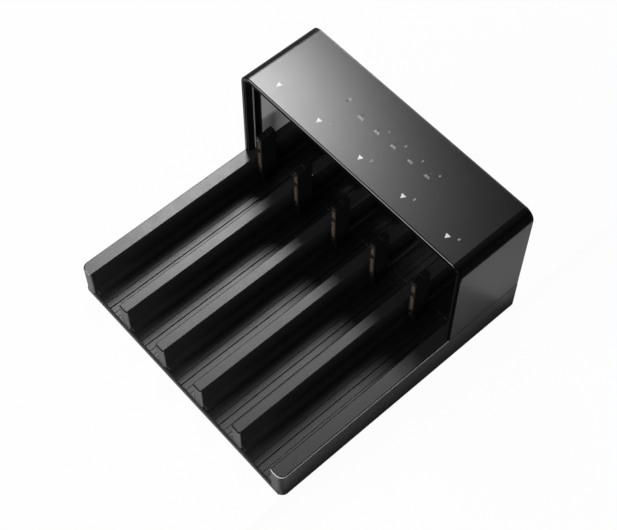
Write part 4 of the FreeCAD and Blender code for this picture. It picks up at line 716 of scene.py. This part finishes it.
def rib_ends(normal, middle):
    """The short sloping bevels at the front ends of the ribs."""
    leans = 0.6 < normal.z < 0.8 and normal.y < -0.3
    return leans and abs(middle.x) < WALL_ZONE and middle.z > RIB_BEVEL_FOOT


def floor_lip(normal, middle):
    """The rounded lip at the front of the bay floors."""
    leans = 0.2 < normal.z < 0.93 and normal.y < -0.15
    return leans and middle.z < LIP_TOP and middle.y < LIP_BACK


def rib_corners(normal, middle):
    """The upright bevels on the right corners of the rib ends."""
    leans = 0.3 < normal.x < 0.95 and abs(normal.z) < 0.1
    return leans and middle.x < RIB_ZONE and middle.y < FRONT_ZONE and middle.z > CORNER_FOOT


def right_mouth_edge(normal, middle):
    """The narrow front edge of the hood's right side."""
    return normal.y < -0.6 and middle.y < MOUTH_ZONE and middle.x > MOUTH_SIDE


def below_rim(normal, middle):
    """The front edge of the hood's roof, between its shoulders."""
    return normal.y < -0.6 and middle.y < MOUTH_ZONE and abs(middle.x) < RIM_END and middle.z > RIM_FOOT


print("edges of the mouth lie before", MOUTH_ZONE, "mm")

# %% [markdown]
# The skins share four finishes: a painted highlight, a painted shade, a lighter grey on the corners of the
# ribs, and the matte black of the frame, which on the floor's lip is painted shade too. The right wall's
# bevel has the painted highlight over its lower, outer half and painted shade above.
# Two bevels could be modelled there, but it is one in the CAD, so its faces are used twice, each
# time with one half cut off. Another cut ends both at the hood, and one leaves the rim's top free.

# %% Bevel skins
BEVEL_PAINTED_HIGHLIGHT = moulded("painted_bevel_highlight_abs", "9a9a9c", "8e8e90", rough=(0.36, 0.42), grain_mm=0.7,
                   grain_deep=0.004, edge_mm=0.1, edge_colour="909092", rub=0.3)
DIM = moulded("grey_rib_corner_abs", "404042", "48484a", rough=(0.5, 0.56), grain_mm=0.7,
              grain_deep=0.004, edge_mm=0.1, edge_colour="505052", rub=0.3)
BEVEL_MIDDLE = (0, 0, 31.1 * MM)
RIM_LIGHT = 0.33 * MM
NOT_UNDER_HOOD = ((0, hood_low.y, 0), (0, 1, 0))
NOT_UPPER_HALF = (BEVEL_MIDDLE, (0, 0, 1))
NOT_LOWER_HALF = (BEVEL_MIDDLE, (0, 0, -1))
NOT_RIM_TOP = ((0, 0, HOOD_TOP - RIM_LIGHT), (0, 0, 1))
# The light skin is a painted highlight. The black skins are painted shade.
bevel_skin("highlight_outer_bevel", "bay_tray", right_outer, BEVEL_PAINTED_HIGHLIGHT, (NOT_UNDER_HOOD, NOT_UPPER_HALF))
bevel_skin("shaded_outer_bevel", "bay_tray", right_outer, PAINTED_SHADE_FILM, (NOT_UNDER_HOOD, NOT_LOWER_HALF))
bevel_skin("rib_end_bevels", "bay_tray", rib_ends, PAINTED_SHADE_FILM)
bevel_skin("floor_lip_shade_skin", "bay_tray", floor_lip, MATTE_AND_PAINTED_SHADE)
bevel_skin("rib_corner_skins", "bay_tray", rib_corners, DIM)
bevel_skin("right_mouth_edge", "hood_shell", right_mouth_edge, PAINTED_SHADE_FILM)
bevel_skin("shade_below_rim", "hood_shell", below_rim, PAINTED_SHADE_FILM, (NOT_RIM_TOP,))

# %% [markdown]
# The tray ends where the rear deck begins, under the mouth of the hood. The deck's front edge is chamfered
# and catches light, and across each bay the chamfer draws one thin light line in the dark. That line is a
# painted highlight: a light grey bar that is almost wholly sunk into the seam.

# %% Deck edge lines
DECK_EDGE_PAINTED_HIGHLIGHT = moulded("painted_chamfer_highlight_abs", "5c5c5e", "545456", rough=(0.45, 0.5), grain_mm=0.8,
               grain_deep=0.004, edge_mm=0.05, edge_colour="686869", rub=0.2)
BAY_LEFT, BAY_WIDE, BAY_PITCH = -96.45 * MM, 31.7 * MM, 40.3 * MM
SEAM_Y, FLOOR_Z, FOOT = 63.65 * MM, 7.0 * MM, 4.5 * MM
LINE_FRONT, LINE_BACK = 0.05 * MM, 0.4 * MM
LINE_SUNK, LINE_PROUD = 0.1 * MM, 0.03 * MM
for bay in range(5):
    start = BAY_LEFT + bay * BAY_PITCH
    low = (start + FOOT, SEAM_Y + LINE_FRONT, FLOOR_Z - LINE_SUNK)
    high = (start + BAY_WIDE - FOOT, SEAM_Y + LINE_BACK, FLOOR_Z + LINE_PROUD)
    box_piece(f"deck_edge_highlight_{bay + 1}", low, high, DECK_EDGE_PAINTED_HIGHLIGHT)
print("deck edge lines:", 5)

# %% [markdown]
# From the front a drive connector shows two rows of contact ends, seven for data and fifteen for
# power. They are stamped from bronze strip at a pitch of 1.27 mm, and tarnish to a dull brown.
# Each is a cube that is scaled to size, and one bevel then rounds all of them at once, which is
# quicker than a separate object for each of the 110.

# %% Contact ends
BRONZE = plated("tarnished_bronze_contact_ends", "574c3f", "453c33", rough=(0.5, 0.65), line_mm=0.3,
                stretch=(1, 1, 1), deep=0.01)
CONTACT_PITCH = 1.27 * MM
CONTACT_SIZE = (3.0 * MM, 0.5 * MM, 0.95 * MM)
CONTACT_BEHIND_FACE, CONTACT_EDGE = 0.15 * MM, 0.08 * MM
POWER_ROW, DATA_ROW = (24.91 * MM, 15), (48.89 * MM, 7)
for bay in range(1, 6):
    socket_low, socket_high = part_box(f"drive_socket_{bay}")
    middle = (socket_low.x + socket_high.x) / 2
    ends = bmesh.new()
    for first, count in (POWER_ROW, DATA_ROW):
        for place in range(count):
            made = bmesh.ops.create_cube(ends, size=1.0)["verts"]
            height = first + place * CONTACT_PITCH
            bmesh.ops.scale(ends, verts=made, vec=CONTACT_SIZE)
            bmesh.ops.translate(ends, verts=made, vec=(middle, socket_low.y + CONTACT_BEHIND_FACE, height))
    bmesh.ops.bevel(ends, geom=ends.edges[:], offset=CONTACT_EDGE, segments=1, profile=0.5,
                    affect="EDGES", material=-1)
    make_piece(f"contact_ends_{bay}", ends, BRONZE)
print("contact ends:", 5 * (POWER_ROW[1] + DATA_ROW[1]))

# %% [markdown]
# The photograph's light comes from one big softbox high on the left, behind the object. Its
# cloth is brightest on the far left and fades to the right, which draws the long gradient on
# the hood. An even lamp would end in a hard line there, so the lamp fades along its own width.
# Two weaker softboxes in front light the ribs and the hood's right side.


# %% Lamps
def softbox(name, place, size, radiance, target=None):
    """A rectangular lamp of a given brightness, facing down or towards a point."""
    lamp = bpy.data.lights.new(name, "AREA")
    lamp.shape = "RECTANGLE"
    lamp.size, lamp.size_y = size
    lamp.energy = radiance * math.pi * size[0] * size[1]
    thing = put(bpy.data.objects.new(name, lamp))
    thing.location = place
    if target is not None:
        thing.rotation_euler = (Vector(target) - Vector(place)).to_track_quat("-Z", "Y").to_euler()
    print(name, "of", size, "m:", round(lamp.energy, 1), "W")
    return lamp


OBJECT_MIDDLE = (0, 0, 0.05)
FADE_START, FADE_HALF = 0.56, 0.08
key = softbox("key_softbox", (-0.93, 0.5975, 1.5), (1.16, 0.435), 25.8)
key.use_nodes = True
tree = key.node_tree
spot = add(tree, "ShaderNodeNewGeometry").outputs["Parametric"]
along = add(tree, "ShaderNodeSeparateXYZ", {"Vector": spot}).outputs["X"]
past = add(tree, "ShaderNodeMapRange", {"Value": along, "From Min": FADE_START, "From Max": 1.0,
                                        "To Max": (1 - FADE_START) / FADE_HALF})
fade = add(tree, "ShaderNodeMath", {0: 0.5, 1: past.outputs["Result"]}, operation="POWER")
tree.links.new(fade.outputs[0], tree.nodes["Emission"].inputs["Strength"])
softbox("front_softbox", (-0.8, -1.7, 0.8), (0.9, 0.9), 12.0, OBJECT_MIDDLE)
softbox("fill_softbox", (0.95, -1.8, 0.45), (2.0, 0.7), 9.0, OBJECT_MIDDLE)

# %% [markdown]
# The object stands on white paper. Against the right side, the paper carries a strip of painted shadow,
# near black, which makes that side fade to black towards its foot. A grey flag stands close to the left and
# a black one close to the right. In mirrors they hide the far paper, so the rounded shoulders of the hood
# stay dark. The shadow and the flags could be real sheets, but those would show in the picture and throw
# shadows. Here they are only shades of the paper, and the flags are seen by mirrors alone.

# %% Painted shadow and flags on the paper
CASE_RIGHT_X = cad_box[1][0]
PAINTED_SHADOW_STARTS, PAINTED_SHADOW_ENDS = 3 * MM, 13 * MM
FLAG_STARTS, FLAG_FULL = 45 * MM, 90 * MM
# The near black strip is painted shadow on the paper.
PAINTED_SHADOW_BLACK, PAPER_WHITE = srgb("0c0c0c"), srgb("cfcfcf")
RIGHT_FLAG, LEFT_FLAG = srgb("060606"), srgb("707070")
paper = bpy.data.materials.new("white_paper_sweep")
paper.use_nodes = True
tree = paper.node_tree
tree.nodes.clear()
path = add(tree, "ShaderNodeLightPath")
here = add(tree, "ShaderNodeNewGeometry").outputs["Position"]
across = add(tree, "ShaderNodeSeparateXYZ", {"Vector": here}).outputs["X"]
off_painted_shadow = add(tree, "ShaderNodeMapRange", {"Value": across, "From Min": CASE_RIGHT_X + PAINTED_SHADOW_STARTS,
                                            "From Max": CASE_RIGHT_X + PAINTED_SHADOW_ENDS})
not_right = add(tree, "ShaderNodeMath", {0: across, 1: CASE_RIGHT_X}, operation="LESS_THAN")
white = add(tree, "ShaderNodeMath", {0: off_painted_shadow.outputs["Result"], 1: not_right.outputs[0]},
            operation="MAXIMUM")
shade = add(tree, "ShaderNodeMixRGB",
            {"Fac": white.outputs[0], "Color1": PAINTED_SHADOW_BLACK, "Color2": PAPER_WHITE})
aside = add(tree, "ShaderNodeMath", {0: across}, operation="ABSOLUTE")
beyond = add(tree, "ShaderNodeMapRange", {"Value": aside.outputs[0], "From Min": CASE_RIGHT_X + FLAG_STARTS,
                                          "From Max": CASE_RIGHT_X + FLAG_FULL})
flagged = add(tree, "ShaderNodeMath", {0: beyond.outputs["Result"], 1: path.outputs["Is Glossy Ray"]},
              operation="MULTIPLY")
side_flag = add(tree, "ShaderNodeMixRGB",
                {"Fac": not_right.outputs[0], "Color1": RIGHT_FLAG, "Color2": LEFT_FLAG})
mirrored = add(tree, "ShaderNodeMixRGB", {"Fac": flagged.outputs[0], "Color1": shade.outputs["Color"],
                                          "Color2": side_flag.outputs["Color"]})
print("card from", round(CASE_RIGHT_X / MM, 1), "mm, flags", FLAG_STARTS / MM, "mm beside the case")

# %% [markdown]
# To the camera the paper is nearly pure white, as in the photograph, and a little of its real
# shading is left, so that the object's shadow shows. More lamps would whiten it too, but they
# would spoil the light on the object. So the paper glows for the camera, and very faintly in
# mirrors. There it is mostly the real, lit paper, so the dark sides of the case mirror the shadow
# beside them.

# %% Paper floor
FLOOR_HALF = 12.0
GLOW_SEEN, GLOW_MIRRORED = 0.97, 0.03
mirror = add(tree, "ShaderNodeMath",
             {0: path.outputs["Is Glossy Ray"], 1: path.outputs["Is Transmission Ray"]},
             operation="MAXIMUM")
faint = add(tree, "ShaderNodeMath", {0: mirror.outputs[0], 1: GLOW_MIRRORED}, operation="MULTIPLY")
seen = add(tree, "ShaderNodeMath", {0: path.outputs["Is Camera Ray"], 1: GLOW_SEEN}, operation="MULTIPLY")
share = add(tree, "ShaderNodeMath", {0: faint.outputs[0], 1: seen.outputs[0]}, operation="MAXIMUM")
sheet = add(tree, "ShaderNodeBsdfDiffuse", {"Color": mirrored.outputs["Color"]})
glow = add(tree, "ShaderNodeEmission", {"Color": (1, 1, 1, 1), "Strength": 1.0})
mixed = add(tree, "ShaderNodeMixShader", {0: share.outputs[0], 1: sheet.outputs[0], 2: glow.outputs[0]})
add(tree, "ShaderNodeOutputMaterial", {"Surface": mixed.outputs[0]})
floor_shape = bmesh.new()
bmesh.ops.create_grid(floor_shape, x_segments=1, y_segments=1, size=FLOOR_HALF)
floor_mesh = bpy.data.meshes.new("floor")
floor_shape.to_mesh(floor_mesh)
floor_shape.free()
floor_mesh.materials.append(paper)
floor = put(bpy.data.objects.new("floor", floor_mesh))
print("paper:", 2 * FLOOR_HALF, "m wide, glow", GLOW_SEEN)

# %% [markdown]
# Around the table hangs a white backdrop, with the grey flag on the left and the black one on the
# right, and the ceiling is dark. Edges that lean forward mirror the backdrop and shine, while
# level faces mirror the ceiling and the softbox. A picture of a studio could do the same, but
# three soft steps are enough here: one in height, and one to each side.

# %% Studio around the table
WALL_ENDS, CEILING_STARTS, CEILING = 0.15, 0.45, 0.06
RIGHT_STARTS, RIGHT_FULL, RIGHT_SHADE = 0.35, 0.6, 0.05
LEFT_FULL, LEFT_STARTS, LEFT_SHADE = -0.85, -0.6, 0.35
studio = bpy.data.worlds.new("studio")
bpy.context.scene.world = studio
studio.use_nodes = True
tree = studio.node_tree
tree.nodes.clear()
sky = add(tree, "ShaderNodeTexCoord").outputs["Generated"]
parts = add(tree, "ShaderNodeSeparateXYZ", {"Vector": sky})
level = add(tree, "ShaderNodeMapRange",
            {"Value": parts.outputs["Z"], "From Min": WALL_ENDS, "From Max": CEILING_STARTS,
             "To Min": 1.0, "To Max": CEILING}, interpolation_type="SMOOTHSTEP")
right_flag = add(tree, "ShaderNodeMapRange",
                 {"Value": parts.outputs["X"], "From Min": RIGHT_STARTS, "From Max": RIGHT_FULL,
                  "To Min": 1.0, "To Max": RIGHT_SHADE}, interpolation_type="SMOOTHSTEP")
left_flag = add(tree, "ShaderNodeMapRange",
                {"Value": parts.outputs["X"], "From Min": LEFT_FULL, "From Max": LEFT_STARTS,
                 "To Min": LEFT_SHADE, "To Max": 1.0}, interpolation_type="SMOOTHSTEP")
flags = add(tree, "ShaderNodeMath", {0: right_flag.outputs["Result"], 1: left_flag.outputs["Result"]},
            operation="MULTIPLY")
flagged = add(tree, "ShaderNodeMath", {0: level.outputs["Result"], 1: flags.outputs[0]},
              operation="MULTIPLY")
backdrop = add(tree, "ShaderNodeBackground", {"Color": (1, 1, 1, 1), "Strength": flagged.outputs[0]})
add(tree, "ShaderNodeOutputWorld", {"Surface": backdrop.outputs[0]})
bpy.context.scene.view_settings.view_transform = "Standard"
print("backdrop with a ceiling of", CEILING, "of its brightness")
